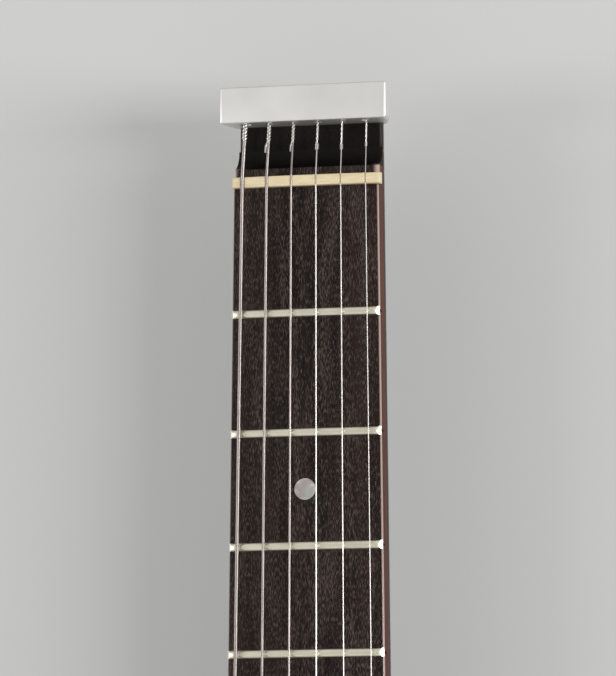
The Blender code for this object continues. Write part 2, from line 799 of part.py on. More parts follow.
def wing_outline(side):
    """Outline of one wing seen from above: cutaway, horn, waist, lower bout and square tail."""
    inside = BEAM_HALF - WING_OVERLAP
    points = smooth_line([
        (BEAM_HALF + (BODY_HALF - BEAM_HALF) * out, BODY_START + BODY_LENGTH * down)
        for down, out in WING_LINE
    ], 4)
    outline = [(inside, BODY_START + BODY_LENGTH * CUTAWAY_ROOT)] + [tuple(point) for point in points]
    outline.append((inside, BODY_END))
    return [(side * x, along(at)) for x, at in outline]


def make_wing(side, name):
    """A wing with rounded edges, sawn flat where it is glued to the beam, and a key window."""
    wing = extruded(name, wing_outline(side), 0.0, BODY_THICK, body_wood())
    bevel(wing, BODY_EDGE, 2, 50)
    near = side * (BEAM_HALF + SEAT)
    trim = [(min(near, -side * PAST), along(BODY_END) - PAST, -PAST),
            (max(near, -side * PAST), along(BODY_START) + PAST, BODY_THICK + PAST)]
    cut(wing, cutter_of_boxes(name + "_glue_face", [trim]))
    shape = bmesh.new()
    far = side * WINDOW_REACH
    back = side * (BEAM_HALF - WING_OVERLAP)
    add_box(shape, (min(back, far), along(WINDOW_END), -PAST),
            (max(back, far), along(WINDOW_START), BODY_THICK + PAST))
    upright = [edge for edge in shape.edges if abs(edge.verts[0].co.z - edge.verts[1].co.z) > MERGE]
    bmesh.ops.bevel(shape, geom=upright, offset=WINDOW_CORNER, segments=4, profile=0.5, affect="EDGES")
    cut(wing, object_from(name + "_key_window", shape, group=cutters))
    return wing


def make_treble_wing():
    wing = make_wing(1, "treble_wing")
    lip = COVER_LIP
    cut(wing, cutter_of_boxes("control_cavity", [
        ((CAVITY_INNER, along(CAVITY_END), -PAST), (CAVITY_OUTER, along(CAVITY_START), CAVITY_TOP)),
    ]))
    cut(wing, cutter_of_boxes("cover_ledge", [
        ((CAVITY_INNER - lip, along(CAVITY_END) - lip, -PAST),
         (CAVITY_OUTER + lip, along(CAVITY_START) + lip, COVER_THICK + 2 * SEAT)),
    ]))
    control = (CONTROL_X, along(CONTROL_AT), CAVITY_TOP - JOIN)
    above = (CONTROL_X, along(CONTROL_AT), BODY_THICK + PAST)
    middle = (CAVITY_OUTER - JOIN, along(JACK_AT), JACK_HEIGHT)
    seat = (JACK_SEAT, along(JACK_AT), JACK_HEIGHT)
    outside = (BODY_HALF + PAST, along(JACK_AT), JACK_HEIGHT)
    cut(wing, cutter_of_cylinders("bush_and_barrel_holes", [
        (control, above, BUSH_DIAMETER / 2 + SEAT),
        (middle, (JACK_SEAT + JOIN, along(JACK_AT), JACK_HEIGHT), JACK_BARREL / 2 + SEAT),
    ], ROUND_SIDES))
    cut(wing, cutter_of_cylinders("jack_cup", [(seat, outside, JACK_CUP / 2)], KNOB_SIDES))


def make_bass_wing():
    wing = make_wing(-1, "bass_wing")
    tip = (-HORN_X, along(BODY_START) + PAST, HORN_STRAP_HEIGHT)
    deep = (-HORN_X, along(BODY_START) - STRAP_SCREW_LENGTH - SEAT, HORN_STRAP_HEIGHT)
    cut(wing, cutter_of_cylinders("horn_screw_hole", [(deep, tip, STRAP_SCREW / 2 + SEAT)], SMALL_SIDES))


def make_strap_button(name, origin, direction):
    head = STRAP_HEAD / 2
    neck = STRAP_NECK / 2
    base = STRAP_BASE / 2
    screw = STRAP_SCREW / 2
    profile = [
        (0, STRAP_HEIGHT), (head - STRAP_RIM, STRAP_HEIGHT), (head, STRAP_HEIGHT - STRAP_RIM / 2),
        (head, STRAP_HEIGHT - STRAP_RIM), (neck, STRAP_HEIGHT - STRAP_CAP), (neck, STRAP_FOOT),
        (base, STRAP_FOOT / 4), (base, 0), (screw, 0), (screw, STRAP_SCREW_POINT - STRAP_SCREW_LENGTH),
        (0, -STRAP_SCREW_LENGTH),
    ]
    turned(name, profile, ROUND_SIDES, facing(origin, direction), plated_steel())


def make_bridge():
    """A bar on two studs, with six notched saddles that follow the round of the strings."""
    half = BRIDGE_LENGTH / 2
    depth = BRIDGE_WIDTH / 2
    top = BRIDGE_Z + BRIDGE_THICK
    shape = bmesh.new()
    add_box(shape, (-half, along(SCALE) - depth, BRIDGE_Z), (half, along(SCALE) + depth, top))
    ends = [edge for edge in shape.edges if abs(edge.verts[0].co.z - edge.verts[1].co.z) > MERGE]
    bmesh.ops.bevel(shape, geom=ends, offset=depth * BRIDGE_ROUND, segments=4, profile=0.5,
                    affect="EDGES")
    bar = object_from("bridge_bar", shape, plated_steel())
    shape = bmesh.new()
    for number, diameter in enumerate(STRING_DIAMETERS):
        x = string_x(number, SCALE)
        ridge = saddle_string_z(number) - diameter / 2 - FINE_FIT
        foot = top - JOIN
        back = along(SCALE) - SADDLE_LENGTH / 2
        front = along(SCALE) + SADDLE_LENGTH / 2
        rings = []
        for side in (-1, 1):
            edge = x + side * SADDLE_WIDTH / 2
            rings.append([
                (edge, back, foot), (edge, back, top + SADDLE_NOSE),
                (edge, along(SCALE) - SADDLE_RIDGE, ridge), (edge, along(SCALE) + SADDLE_RIDGE, ridge),
                (edge, front, top + SADDLE_NOSE / 2), (edge, front, foot),
            ])
        add_loft(shape, rings)
    boolean(bar, object_from("six_saddles", shape, group=cutters), "UNION")
    holes = []
    for side in (-1, 1):
        x = side * BRIDGE_STUD_SPREAD / 2
        holes.append(((x, along(SCALE), BRIDGE_Z - PAST), (x, along(SCALE), top + PAST),
                      STUD_PIN / 2 + SEAT))
    cut(bar, cutter_of_cylinders("bridge_stud_holes", holes, ROUND_SIDES))
    pin = STUD_PIN / 2
    wheel = STUD_WHEEL / 2
    shaft = STUD_SHAFT / 2
    rest = BRIDGE_BOTTOM - SEAT
    peak = BRIDGE_BOTTOM + BRIDGE_THICK + JOIN
    profile = [
        (0, peak), (pin - CHAMFER, peak), (pin, peak - CHAMFER), (pin, rest), (wheel - CHAMFER, rest),
        (wheel, rest - CHAMFER), (wheel, rest - STUD_WHEEL_THICK), (shaft, rest - STUD_WHEEL_THICK),
        (shaft, -STUD_DEPTH), (0, -STUD_DEPTH),
    ]
    for side, name in ((-1, "bass"), (1, "treble")):
        origin = (side * BRIDGE_STUD_SPREAD / 2, along(SCALE), BODY_THICK)
        turned(f"bridge_stud_{name}", profile, ROUND_SIDES, facing(origin, (0, 0, 1)), plated_steel())


def make_pickup():
    """A covered pickup that stands in its pocket, with six pole screws under the strings."""
    half = PICKUP_LENGTH / 2
    depth = PICKUP_WIDTH / 2
    middle = along(PICKUP_CENTRE)
    rise = STRING_FLOOR_NUT + (STRING_FLOOR_SADDLE - STRING_FLOOR_NUT) * PICKUP_CENTRE / SCALE
    top = BOARD_TOP + rise - PICKUP_STRING_GAP
    shape = bmesh.new()
    add_box(shape, (-half, middle - depth, PICKUP_FLOOR + SEAT), (half, middle + depth, top))
    pickup = object_from("pickup", shape, black_plastic())
    bevel(pickup, PICKUP_EDGE, 2, 40)
    shape = bmesh.new()
    for number in range(len(STRING_DIAMETERS)):
        x = string_x(number, PICKUP_CENTRE)
        y = middle + depth / 2
        add_cylinder(shape, (x, y, top - JOIN), (x, y, top + POLE_RISE), POLE_DIAMETER / 2, SMALL_SIDES)
    boolean(pickup, object_from("pole_screws", shape, group=cutters), "UNION")


def make_volume_control():
    """The pot hangs in the cavity by its bush; its shaft and the knob turn together."""
    centre = (CONTROL_X, along(CONTROL_AT), BODY_THICK)
    upright = facing(centre, (0, 0, 1))
    bush = BUSH_DIAMETER / 2
    nut = BUSH_NUT / 2
    pot = POT_DIAMETER / 2
    shaft = SHAFT_DIAMETER / 2
    shoulder = -CAVITY_ROOF - SEAT
    bore = shoulder - SHAFT_FOOT
    profile = [
        (0, bore), (shaft + SEAT, bore), (shaft + SEAT, BUSH_RISE), (bush, BUSH_RISE),
        (bush, BUSH_NUT_THICK + SEAT), (nut, BUSH_NUT_THICK + SEAT), (nut, SEAT), (bush, SEAT),
        (bush, shoulder), (pot, shoulder), (pot, shoulder - POT_HEIGHT), (0, shoulder - POT_HEIGHT),
    ]
    turned("volume_pot", profile, ROUND_SIDES, upright, finish("plain_steel", (0.45, 0.45, 0.46), 0.4, 1.0))
    profile = [(0, SHAFT_RISE), (shaft, SHAFT_RISE), (shaft, bore + SEAT), (0, bore + SEAT)]
    turned("volume_shaft", profile, ROUND_SIDES, upright, finish("brass", (0.6, 0.45, 0.2), 0.3, 1.0))
    knob = KNOB_DIAMETER / 2
    top = KNOB_LIFT + KNOB_HEIGHT
    bore_top = SHAFT_RISE + SEAT
    profile = [
        (0, top), (knob - KNOB_TAPER - 2 * KNOB_EDGE, top), (knob - KNOB_TAPER - KNOB_EDGE, top - KNOB_EDGE),
        (knob - KNOB_TAPER, KNOB_LIFT + 2 * KNOB_EDGE), (knob, KNOB_LIFT + KNOB_EDGE), (knob, KNOB_LIFT),
        (shaft + SEAT, KNOB_LIFT),
        (shaft + SEAT, bore_top), (0, bore_top),
    ]
    turned("volume_knob", profile, KNOB_SIDES, upright, black_plastic())


def make_jack():
    flange = JACK_FLANGE / 2
    barrel = JACK_BARREL / 2
    bore = JACK_BORE / 2
    face = JACK_FLANGE_THICK + SEAT
    profile = [
        (0, face - JACK_BORE_DEPTH), (bore, face - JACK_BORE_DEPTH), (bore, face), (flange - CHAMFER, face),
        (flange, face - CHAMFER), (flange, SEAT), (barrel, SEAT), (barrel, -JACK_LENGTH), (0, -JACK_LENGTH),
    ]
    origin = (JACK_SEAT, along(JACK_AT), JACK_HEIGHT)
    turned("output_jack", profile, ROUND_SIDES, facing(origin, (1, 0, 0)), plated_steel())


def make_control_cover():
    lip = COVER_LIP - SEAT
    shape = bmesh.new()
    add_box(shape, (CAVITY_INNER - lip, along(CAVITY_END) - lip, SEAT),
            (CAVITY_OUTER + lip, along(CAVITY_START) + lip, SEAT + COVER_THICK))
    object_from("control_cover", shape, black_plastic())


def worm_profile(turn):
    """Height of the thread, 0 to 1, at a place in one turn, with the crest in the middle."""
    off = abs(turn - math.floor(turn) - 0.5)
    return min(max((THREAD_FOOT_SHARE - off) / THREAD_FLANK_SHARE, 0), 1)


def make_key(name, side, x, at):
    """Worm, shaft and button in one, on the joint axis: rings of points carried along X."""
    worm_y = along(at) + MESH_DISTANCE
    samples = THREAD_STEPS * WORM_TURNS
    stub_end = WORM_HALF + SEAT + EAR_THICK + KEY_STUB_PAST
    wide = KEY_BUTTON_WIDTH / 2
    thick = KEY_BUTTON_THICK / 2
    stations = [(-stub_end, KEY_STUB, KEY_STUB), (-WORM_HALF, KEY_STUB, KEY_STUB),
                (-WORM_HALF, WORM_ROOT, WORM_ROOT)]
    half_thread = WORM_TURNS * WORM_LEAD / 2
    for i in range(samples + 1):
        stations.append((half_thread * (2 * i / samples - 1), None, None))
    stations += [(WORM_HALF, WORM_ROOT, WORM_ROOT), (WORM_HALF, KEY_SHAFT, KEY_SHAFT),
                 (KEY_NECK, KEY_SHAFT, KEY_SHAFT)]
    for out, broad, deep in KEY_BUTTON_LINE:
        stations.append((KEY_NECK + KEY_BUTTON_LENGTH * out, wide * broad, thick * deep))
    rings = []
    for reach, width, height in stations:
        ring = []
        for i in range(SMALL_SIDES):
            share = i / SMALL_SIDES
            angle = 2 * math.pi * share
            wide_here, high_here = width, height
            if width is None:
                thread = worm_profile(side * reach / WORM_LEAD - share)
                crest = WORM_PITCH + WORM_TIP
                wide_here = high_here = WORM_ROOT + (crest - WORM_ROOT) * thread
            ring.append((
                x + side * reach, worm_y + wide_here * math.cos(angle),
                WORM_Z + high_here * math.sin(angle),
            ))
        rings.append(ring)
    shape = bmesh.new()
    add_loft(shape, rings)
    object_from(name, shape, plated_steel(), origin=(x, worm_y, WORM_Z))


def gear_rings(x, y):
    """Both faces of the gear wheel; its teeth lean by the lead angle of the worm."""
    lean = WORM_LEAD / (2 * math.pi * WORM_PITCH) / GEAR_PITCH
    root = GEAR_PITCH - GEAR_ROOT
    tip = GEAR_PITCH + GEAR_TIP
    step = 2 * math.pi / GEAR_TEETH
    rings = []
    for level in (-GEAR_THICK / 2, GEAR_THICK / 2):
        ring = []
        for tooth in range(GEAR_TEETH):
            middle = math.pi / 2 + (tooth + 0.5) * step + lean * level
            for offset, radius in (
                (-TOOTH_ROOT_SHARE, root), (-TOOTH_TIP_SHARE, tip),
                (TOOTH_TIP_SHARE, tip), (TOOTH_ROOT_SHARE, root),
            ):
                angle = middle + offset * step
                ring.append((x + radius * math.cos(angle), y + radius * math.sin(angle), WORM_Z + level))
        rings.append(ring)
    return rings


def make_post(name, x, at):
    """String post with a waist for the winding, a collar on the deck and its gear below."""
    under_cap = POST_RISE - POST_CAP_HEIGHT
    foot = WORM_Z - GEAR_THICK / 2 - POST_FOOT - DECK_TOP
    profile = [
        (0, POST_RISE), (POST_CAP - POST_EDGE, POST_RISE), (POST_CAP, POST_RISE - POST_EDGE),
        (POST_CAP, under_cap), (POST_WAIST, under_cap - POST_CAP_SLOPE),
        (POST_WAIST, POST_COLLAR_HEIGHT + POST_COLLAR_SLOPE), (POST_COLLAR, POST_COLLAR_HEIGHT),
        (POST_COLLAR, SEAT), (POST_SHAFT, SEAT), (POST_SHAFT, foot), (0, foot),
    ]
    origin = (x, along(at), DECK_TOP)
    post = turned(name, profile, SMALL_SIDES, facing(origin, (0, 0, 1)), plated_steel())
    shape = bmesh.new()
    add_loft(shape, gear_rings(x, along(at)))
    boolean(post, object_from(name + "_gear", shape, group=cutters), "UNION")


def make_plate(side, name):
    """One strip carries three machines: post holes, and ears folded down to hold each worm."""
    x = side * POST_X
    half = PLATE_WIDTH / 2
    places = [at for post_x, at in post_places() if post_x * side > 0]
    first = min(places)
    last = max(places)
    shape = bmesh.new()
    add_box(shape, (x - half, along(last) - PLATE_END, PLATE_BOTTOM),
            (x + half, along(first) + MESH_DISTANCE + PLATE_END / 2, PLATE_TOP))
    plate = object_from(name, shape, plated_steel())
    ears = []
    ear_holes = []
    post_holes = []
    for at in places:
        worm_y = along(at) + MESH_DISTANCE
        inner = WORM_HALF + SEAT
        for way in (-1, 1):
            ears.append((
                (x + min(way * inner, way * (inner + EAR_THICK)), worm_y - EAR_WIDTH / 2, WORM_Z - EAR_DROP),
                (x + max(way * inner, way * (inner + EAR_THICK)), worm_y + EAR_WIDTH / 2,
                 PLATE_BOTTOM + PLATE_THICK / 2),
            ))
            radius = (KEY_SHAFT if way == side else KEY_STUB) + SEAT
            ear_holes.append(((x + way * (inner - FINE_FIT), worm_y, WORM_Z),
                              (x + way * (inner + EAR_THICK + FINE_FIT), worm_y, WORM_Z), radius))
        post_holes.append(((x, along(at), PLATE_BOTTOM - JOIN), (x, along(at), PLATE_TOP + JOIN),
                           POST_SHAFT + SEAT))
    boolean(plate, cutter_of_boxes(name + "_ears", ears), "UNION")
    cut(plate, cutter_of_cylinders(name + "_holes", ear_holes + post_holes, SMALL_SIDES))


def string_route(number):
    """Points and radii of one string: ball end, lock twist, speaking length, winding."""
    thick = STRING_DIAMETERS[number] / 2
    twist = min(LOCK_WIDTH * thick, STRING_HOLE / 2 - SEAT)
    ball = BALL_DIAMETER / 2
    route = []

    def add(distance, z, radius):
        route.append(((string_x(number, distance), along(distance), z), radius))

    front = -(HEAD_REACH - BALL_POCKET_DEPTH + SEAT)
    back = front - BALL_LENGTH
    nut_z = nut_string_z(number)
    slope = (nut_z - BLOCK_STRING_Z) / (BLOCK_GAP - NUT_THICK)
    add(back, BLOCK_STRING_Z, ball * BALL_FACE)
    add(back + BALL_EDGE, BLOCK_STRING_Z, ball)
    add(front - BALL_EDGE, BLOCK_STRING_Z, ball)
    add(front, BLOCK_STRING_Z, ball * BALL_FACE)
    add(front + FINE_FIT, BLOCK_STRING_Z, twist)
    add(-BLOCK_GAP, BLOCK_STRING_Z, twist)
    for reach, radius in ((LOCK_TWIST, twist), (LOCK_TWIST + LOCK_TAPER, thick)):
        add(reach - BLOCK_GAP, BLOCK_STRING_Z + slope * reach, radius)
    add(-NUT_THICK, nut_z, thick)
    add(0.0, nut_z, thick)
    add(SCALE, saddle_string_z(number), thick)
    x, at = post_places()[number]
    post = Vector((x, along(at)))
    saddle = Vector((string_x(number, SCALE), along(SCALE)))
    radius = POST_WAIST + SEAT + thick
    away = saddle - post
    way = 1 if x > 0 else -1
    start = math.atan2(away.y, away.x) + way * math.acos(radius / away.length)
    pitch = STRING_DIAMETERS[number] + WRAP_SPACE
    corner = radius / math.cos(math.pi / WRAP_SIDES) ** 0.5
    for i in range(WRAP_TURNS * WRAP_SIDES + 1):
        angle = start + way * 2 * math.pi * i / WRAP_SIDES
        route.append(((
            post.x + corner * math.cos(angle), post.y + corner * math.sin(angle),
            WRAP_TOP - pitch * i / WRAP_SIDES,
        ), thick))
    return route


def make_string(number):
    name = f"string_{6 - number}"
    curve = bpy.data.curves.new(name, "CURVE")
    curve.dimensions = "3D"
    curve.bevel_depth = 1.0
    curve.bevel_resolution = 1
    curve.use_fill_caps = True
    spline = curve.splines.new("POLY")
    route = string_route(number)
    spline.points.add(len(route) - 1)
    for point, (co, radius) in zip(spline.points, route):
        point.co = (*co, 1)
        point.radius = radius
    made = bpy.data.objects.new(name, curve)
    place(made, parts, finish("string_steel", (0.6, 0.58, 0.54), 0.3, 1.0))


def build_guitar():
    start_scene()
    make_neck_beam()
    make_fingerboard()
    make_frets()
    make_nut()
    make_head_block()
    make_block_screws()
    make_truss_rod()
    make_treble_wing()
    make_bass_wing()
    make_strap_button("strap_button_tail", (0, along(BODY_END) - SEAT, TAIL_STRAP_HEIGHT), (0, -1, 0))
    make_strap_button("strap_button_horn",
                      (-HORN_X, along(BODY_START) + SEAT, HORN_STRAP_HEIGHT), (0, 1, 0))
    make_bridge()
    make_pickup()
    make_volume_control()
    make_jack()
    make_control_cover()
    make_plate(-1, "tuner_plate_bass")
    make_plate(1, "tuner_plate_treble")
    for number, (x, at) in enumerate(post_places()):
        side = 1 if x > 0 else -1
        make_key(f"tuner_key_{6 - number}", side, x, at)
        make_post(f"tuner_post_{6 - number}", x, at)
        make_string(number)


build_guitar()
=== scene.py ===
# %% [markdown]
# # A travel guitar, dressed over its solid model
# The guitar lies on its back with its strings up. Its neck points to +Y and ends in a metal block
# that anchors the strings, and worm machines set in the body tune them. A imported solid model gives
# every part's place. This scene covers it with finely shaped surfaces and procedural finishes.

# %% Load the solid model
import math

import bmesh
import bpy
import numpy as np
from mathutils import Matrix, Vector
from mathutils.geometry import tessellate_polygon


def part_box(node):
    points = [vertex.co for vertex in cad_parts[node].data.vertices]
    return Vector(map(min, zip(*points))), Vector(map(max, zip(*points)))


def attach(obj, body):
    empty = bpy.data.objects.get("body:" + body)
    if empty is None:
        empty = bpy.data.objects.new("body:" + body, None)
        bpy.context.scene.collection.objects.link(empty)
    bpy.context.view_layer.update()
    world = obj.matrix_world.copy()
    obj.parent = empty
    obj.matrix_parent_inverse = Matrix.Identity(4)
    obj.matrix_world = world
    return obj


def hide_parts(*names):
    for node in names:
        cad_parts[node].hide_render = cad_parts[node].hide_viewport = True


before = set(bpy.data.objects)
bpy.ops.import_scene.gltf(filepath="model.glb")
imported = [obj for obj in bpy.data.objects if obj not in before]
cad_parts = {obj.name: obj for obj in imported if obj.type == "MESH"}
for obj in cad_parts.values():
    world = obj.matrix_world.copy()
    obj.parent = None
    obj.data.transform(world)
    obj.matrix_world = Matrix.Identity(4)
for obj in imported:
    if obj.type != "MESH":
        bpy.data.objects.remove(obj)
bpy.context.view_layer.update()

# %% [markdown]
# ## Sizes
# A guitar is laid out from one length, the scale: each fret stands where the remaining string is
# shorter by the twelfth root of two. The scene repeats only the few sizes that its fine shapes
# need, in metres, and reads the rest from the boxes of the solids.

# %% Sizes of neck and strings
SCALE = 0.6477
FRETS = 20
NUT_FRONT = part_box("nut")[0].y
NUT_THICK = 0.0031
BODY_TOP = 0.0400
BOARD_TOP = 0.0461
BOARD_RADIUS = 0.400
BEAM_HALF = 0.0440
SEAM = 0.0003
BLOCK_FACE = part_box("head_block")[0].y
BLOCK_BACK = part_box("head_block")[1].y
BLOCK_TOP = 0.0491
HOLE_HEIGHT = 0.0451
FACE = NUT_FRONT - BLOCK_FACE
BACK = NUT_FRONT - BLOCK_BACK
DIAMETERS = np.array([1.17, 0.91, 0.66, 0.43, 0.33, 0.25]) / 1000
STRING_NAMES = [f"string_{6 - number}" for number in range(6)]


def along(distance):
    """World Y of a distance from the front edge of the nut towards the bridge."""
    return NUT_FRONT - distance


def fret_distance(number):
    """Scale times one minus two to the power of minus number over twelve."""
    return SCALE * (1 - 2 ** (-number / 12))


def board_half(distance):
    """Half the fingerboard's width, which grows evenly along the neck."""
    return 0.0215 + 0.0120 * distance


def crown_drop(x):
    """Fall of the board's round top at x: radius minus the root of radius squared less x squared."""
    return BOARD_RADIUS - np.sqrt(BOARD_RADIUS**2 - x**2)


def string_x(number, distance):
    """Strings fan out evenly, from 36.5 mm across at the nut to 52.4 mm at the saddles."""
    return (0.0365 + 0.0159 * distance / SCALE) * (number / 5 - 0.5)


def string_height(number, distance):
    """Centre height of a string: level underneath over nut and saddle, straight between them and on
    from the nut down to the hole in the head block."""
    thick = DIAMETERS[number] / 2
    over_nut = BOARD_TOP + 0.0013 - crown_drop(string_x(number, 0)) + thick
    over_saddle = BOARD_TOP + 0.0050 - crown_drop(string_x(number, SCALE)) + thick
    places = [BACK, FACE, -NUT_THICK, 0, SCALE]
    heights = [HOLE_HEIGHT, HOLE_HEIGHT, over_nut, over_nut, over_saddle]
    return np.interp(distance, places, heights)


print("nut at y", round(NUT_FRONT, 4), "and saddles at y", round(along(SCALE), 4))

# %% [markdown]
# ## Surfaces from whole arrays
# The parts of a guitar are sawn, turned, bent and filed. They could be modelled by hand, but every
# new piece here is a surface over a grid: rows of points carried along a path or turned about an
# axis, worked out as numpy arrays, so a size can be changed later. Quads join neighbouring points.

# %% Grids, caps and joins


def unit(vectors):
    """Vectors divided by their own length."""
    return vectors / np.linalg.norm(vectors, axis=-1, keepdims=True)


def grid(points, around=True, caps=True):
    """A (rows, columns, 3) array as one surface: quads between neighbours. around joins the last
    column to the first, and caps close the first and the last row with one face each."""
    rows, columns = points.shape[:2]
    index = np.arange(rows * columns).reshape(rows, columns)
    left = index if around else index[:, :-1]
    right = np.roll(index, -1, axis=1) if around else index[:, 1:]
    faces = np.stack([left[:-1], right[:-1], right[1:], left[1:]], axis=-1).reshape(-1, 4).tolist()
    if caps:
        faces += [index[0][::-1].tolist(), index[-1].tolist()]
    return points.reshape(-1, 3), faces


def join(*surfaces):
    """Several surfaces as one: the points in a row, with the face numbers moved up to match."""
    counts = np.cumsum([0] + [len(points) for points, faces in surfaces])
    faces = [[i + start for i in face] for start, s in zip(counts, surfaces) for face in s[1]]
    return np.vstack([points for points, faces in surfaces]), faces


UPRIGHT = ((1, 0, 0), (0, 1, 0), (0, 0, 1))
DOWNWARD = ((1, 0, 0), (0, -1, 0), (0, 0, -1))
SIDEWAYS = ((0, 1, 0), (0, 0, 1), (1, 0, 0))
HEADWARD = ((1, 0, 0), (0, 0, -1), (0, 1, 0))
TAILWARD = ((1, 0, 0), (0, 0, 1), (0, -1, 0))
SWAPPED = ((1, 0, 0), (0, 0, 1), (0, 1, 0))


def put(surface, origin=(0, 0, 0), axes=UPRIGHT):
    """Place a surface: its three coordinates times the three axes, plus the origin. The named sets
    of axes say which way the surface's own Z points. Swapped trades its Y for its Z."""
    points, faces = surface
    return points @ np.array(axes, float) + np.array(origin, float), faces


def mirrored(surface, axis):
    """The mirror image: one of the three coordinates changes its sign."""
    signs = np.ones(3)
    signs[axis] = -1
    return surface[0] * signs, surface[1]


print("ways to lay a surface:", len((UPRIGHT, DOWNWARD, SIDEWAYS, HEADWARD, TAILWARD, SWAPPED)))

# %% [markdown]
# Blender keeps a shape in a mesh and shows it through an object. Doubled points are merged and the
# faces are turned outwards before a mesh is used, so each piece is closed. The object stays at the
# origin, because its place is in its points, and it rides on the body that it belongs to.

# %% Pieces that ride on the frame


def read(elements, name):
    """One vector for each point or face of a mesh, as the rows of an array."""
    values = np.zeros(len(elements) * 3)
    elements.foreach_get(name, values)
    return values.reshape(-1, 3)


def mark(mesh, name, values, domain="POINT"):
    """Store one number for each point or face under a name that a material can read."""
    attribute = mesh.attributes.new(name, "FLOAT", domain)
    attribute.data.foreach_set("value", np.asarray(values, np.float32))


def mesh_of(name, surface):
    """A surface as mesh data, with doubled points merged and faces turned outwards."""
    mesh = bpy.data.meshes.new(name)
    mesh.from_pydata(surface[0], [], surface[1])
    shape = bmesh.new()
    shape.from_mesh(mesh)
    bmesh.ops.remove_doubles(shape, verts=shape.verts, dist=2e-6)
    bmesh.ops.recalc_face_normals(shape, faces=shape.faces)
    shape.to_mesh(mesh)
    shape.free()
    return mesh


def piece(name, surface, material, body="guitar", stands_for=(), angle=38):
    """A finished piece at the origin: smooth where faces meet at less than the angle, riding on a
    body of the frame and standing for the solids that it replaces."""
    mesh = mesh_of(name, surface)
    mesh.shade_smooth()
    mesh.set_sharp_from_angle(angle=math.radians(angle))
    mesh.materials.append(material)
    made = bpy.data.objects.new(name, mesh)
    bpy.context.scene.collection.objects.link(made)
    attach(made, body)
    if stands_for:
        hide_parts(*stands_for)
    return made


def refinish(node, material):
    """Give a solid of the frame whose shape is right a finer material."""
    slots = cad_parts[node].data.materials
    slots.clear()
    slots.append(material)


# %% [markdown]
# Most small parts are plates with rounded edges or shapes turned on a lathe. A Bevel modifier could
# round them, but a drawn outline, pulled in ring by ring towards its edges, gives each corner its
# own radius and leaves the flat faces even.

# %% Outlines, plates and turned shapes


def circle(radius, count=48, centre=(0, 0)):
    """Points at equal angles round a centre."""
    angle = np.linspace(0, 2 * np.pi, count, endpoint=False)
    return np.column_stack([np.cos(angle), np.sin(angle)]) * radius + centre


def eased(line, radius, steps=4, closed=True):
    """Round the corners of a line: near each corner it follows the quadratic curve from one side to
    the other that starts and ends a radius, or half a side, from the corner."""
    line = np.asarray(line, float)
    before = np.roll(line, 1, 0) - line
    after = np.roll(line, -1, 0) - line
    length = np.minimum(np.linalg.norm(before, axis=1), np.linalg.norm(after, axis=1)) / 2
    cut = np.minimum(radius, length)[:, None]
    if not closed:
        cut[[0, -1]] = 0
    start = (line + unit(before) * cut)[:, None]
    end = (line + unit(after) * cut)[:, None]
    t = np.linspace(0, 1, steps + 1)[None, :, None]
    curve = (1 - t) ** 2 * start + 2 * t * (1 - t) * line[:, None] + t**2 * end
    curve = curve.reshape(-1, line.shape[1])
    if closed:
        return curve
    return curve[steps : len(curve) - steps]


def box_outline(wide, high, radius, centre=(0, 0), steps=5):
    """A rectangle of half sizes wide and high with rounded corners."""
    corners = np.array([(1, -1), (1, 1), (-1, 1), (-1, -1)]) * (wide, high)
    return eased(corners, radius, steps) + centre


def smooth_line(points, steps):
    """A cubic between each two points that leaves and arrives along the line through neighbours."""
    p = np.asarray(points, float)
    p = np.vstack([2 * p[0] - p[1], p, 2 * p[-1] - p[-2]])
    a, b, c, d = p[:-3], p[1:-2], p[2:-1], p[3:]
    t = (np.arange(steps) / steps)[:, None, None]
    cubic = b + 0.5 * t * (c - a + t * (2 * a - 5 * b + 4 * c - d + t * (3 * (b - c) + d - a)))
    return np.vstack([cubic.transpose(1, 0, 2).reshape(-1, p.shape[1]), p[-2]])


def outward(outline):
    """Unit normals of a closed outline that runs counter-clockwise, away from its inside."""
    step = np.roll(outline, -1, 0) - np.roll(outline, 1, 0)
    return unit(np.column_stack([step[:, 1], -step[:, 0]]))


def wall(outline, low, high, edge, sign=1, steps=3):
    """Rings up the side of a plate with quarter-round edges: at angle a the ring is pulled in by
    edge times (1 - sin a) and lies edge times (1 - cos a) from the nearer face. The first and last
    ring lie a little further in on the flat, which keeps the shading of the flat face even."""
    edge = np.broadcast_to(edge, len(outline))
    a = np.linspace(0, np.pi / 2, steps + 1)
    a = np.concatenate([[0], a, a[::-1], [0]])[:, None]
    rise = (1 - np.cos(a)) * edge
    pull = (1 - np.sin(a)) * edge
    pull[[0, -1]] += np.minimum(0.00015, 0.4 * edge)
    rows = outline[None] - sign * pull[..., None] * outward(outline)[None]
    half = steps + 2
    height = np.concatenate([low + rise[:half], high - rise[half:]])
    return np.dstack([rows, height])


def cap(loops, height):
    """A flat face at one height, bounded by the first loop and pierced by the others."""
    drawn = [[Vector((x, y, 0)) for x, y in loop] for loop in loops]
    points = np.vstack(loops)
    faces = [list(face) for face in tessellate_polygon(drawn)]
    return np.column_stack([points, np.full(len(points), height)]), faces


def plate(outline, low, high, edge=0.0003, holes=(), hole_edge=0.0002, steps=3):
    """A plate between two heights with rounded edges, and holes through it."""
    rings = [wall(outline, low, high, edge, 1, steps)]
    rings += [wall(hole, low, high, hole_edge, -1, steps) for hole in holes]
    parts = [grid(ring, caps=False) for ring in rings]
    parts.append(cap([ring[0, :, :2] for ring in rings], low))
    parts.append(cap([ring[-1, :, :2] for ring in rings], high))
    return join(*parts)


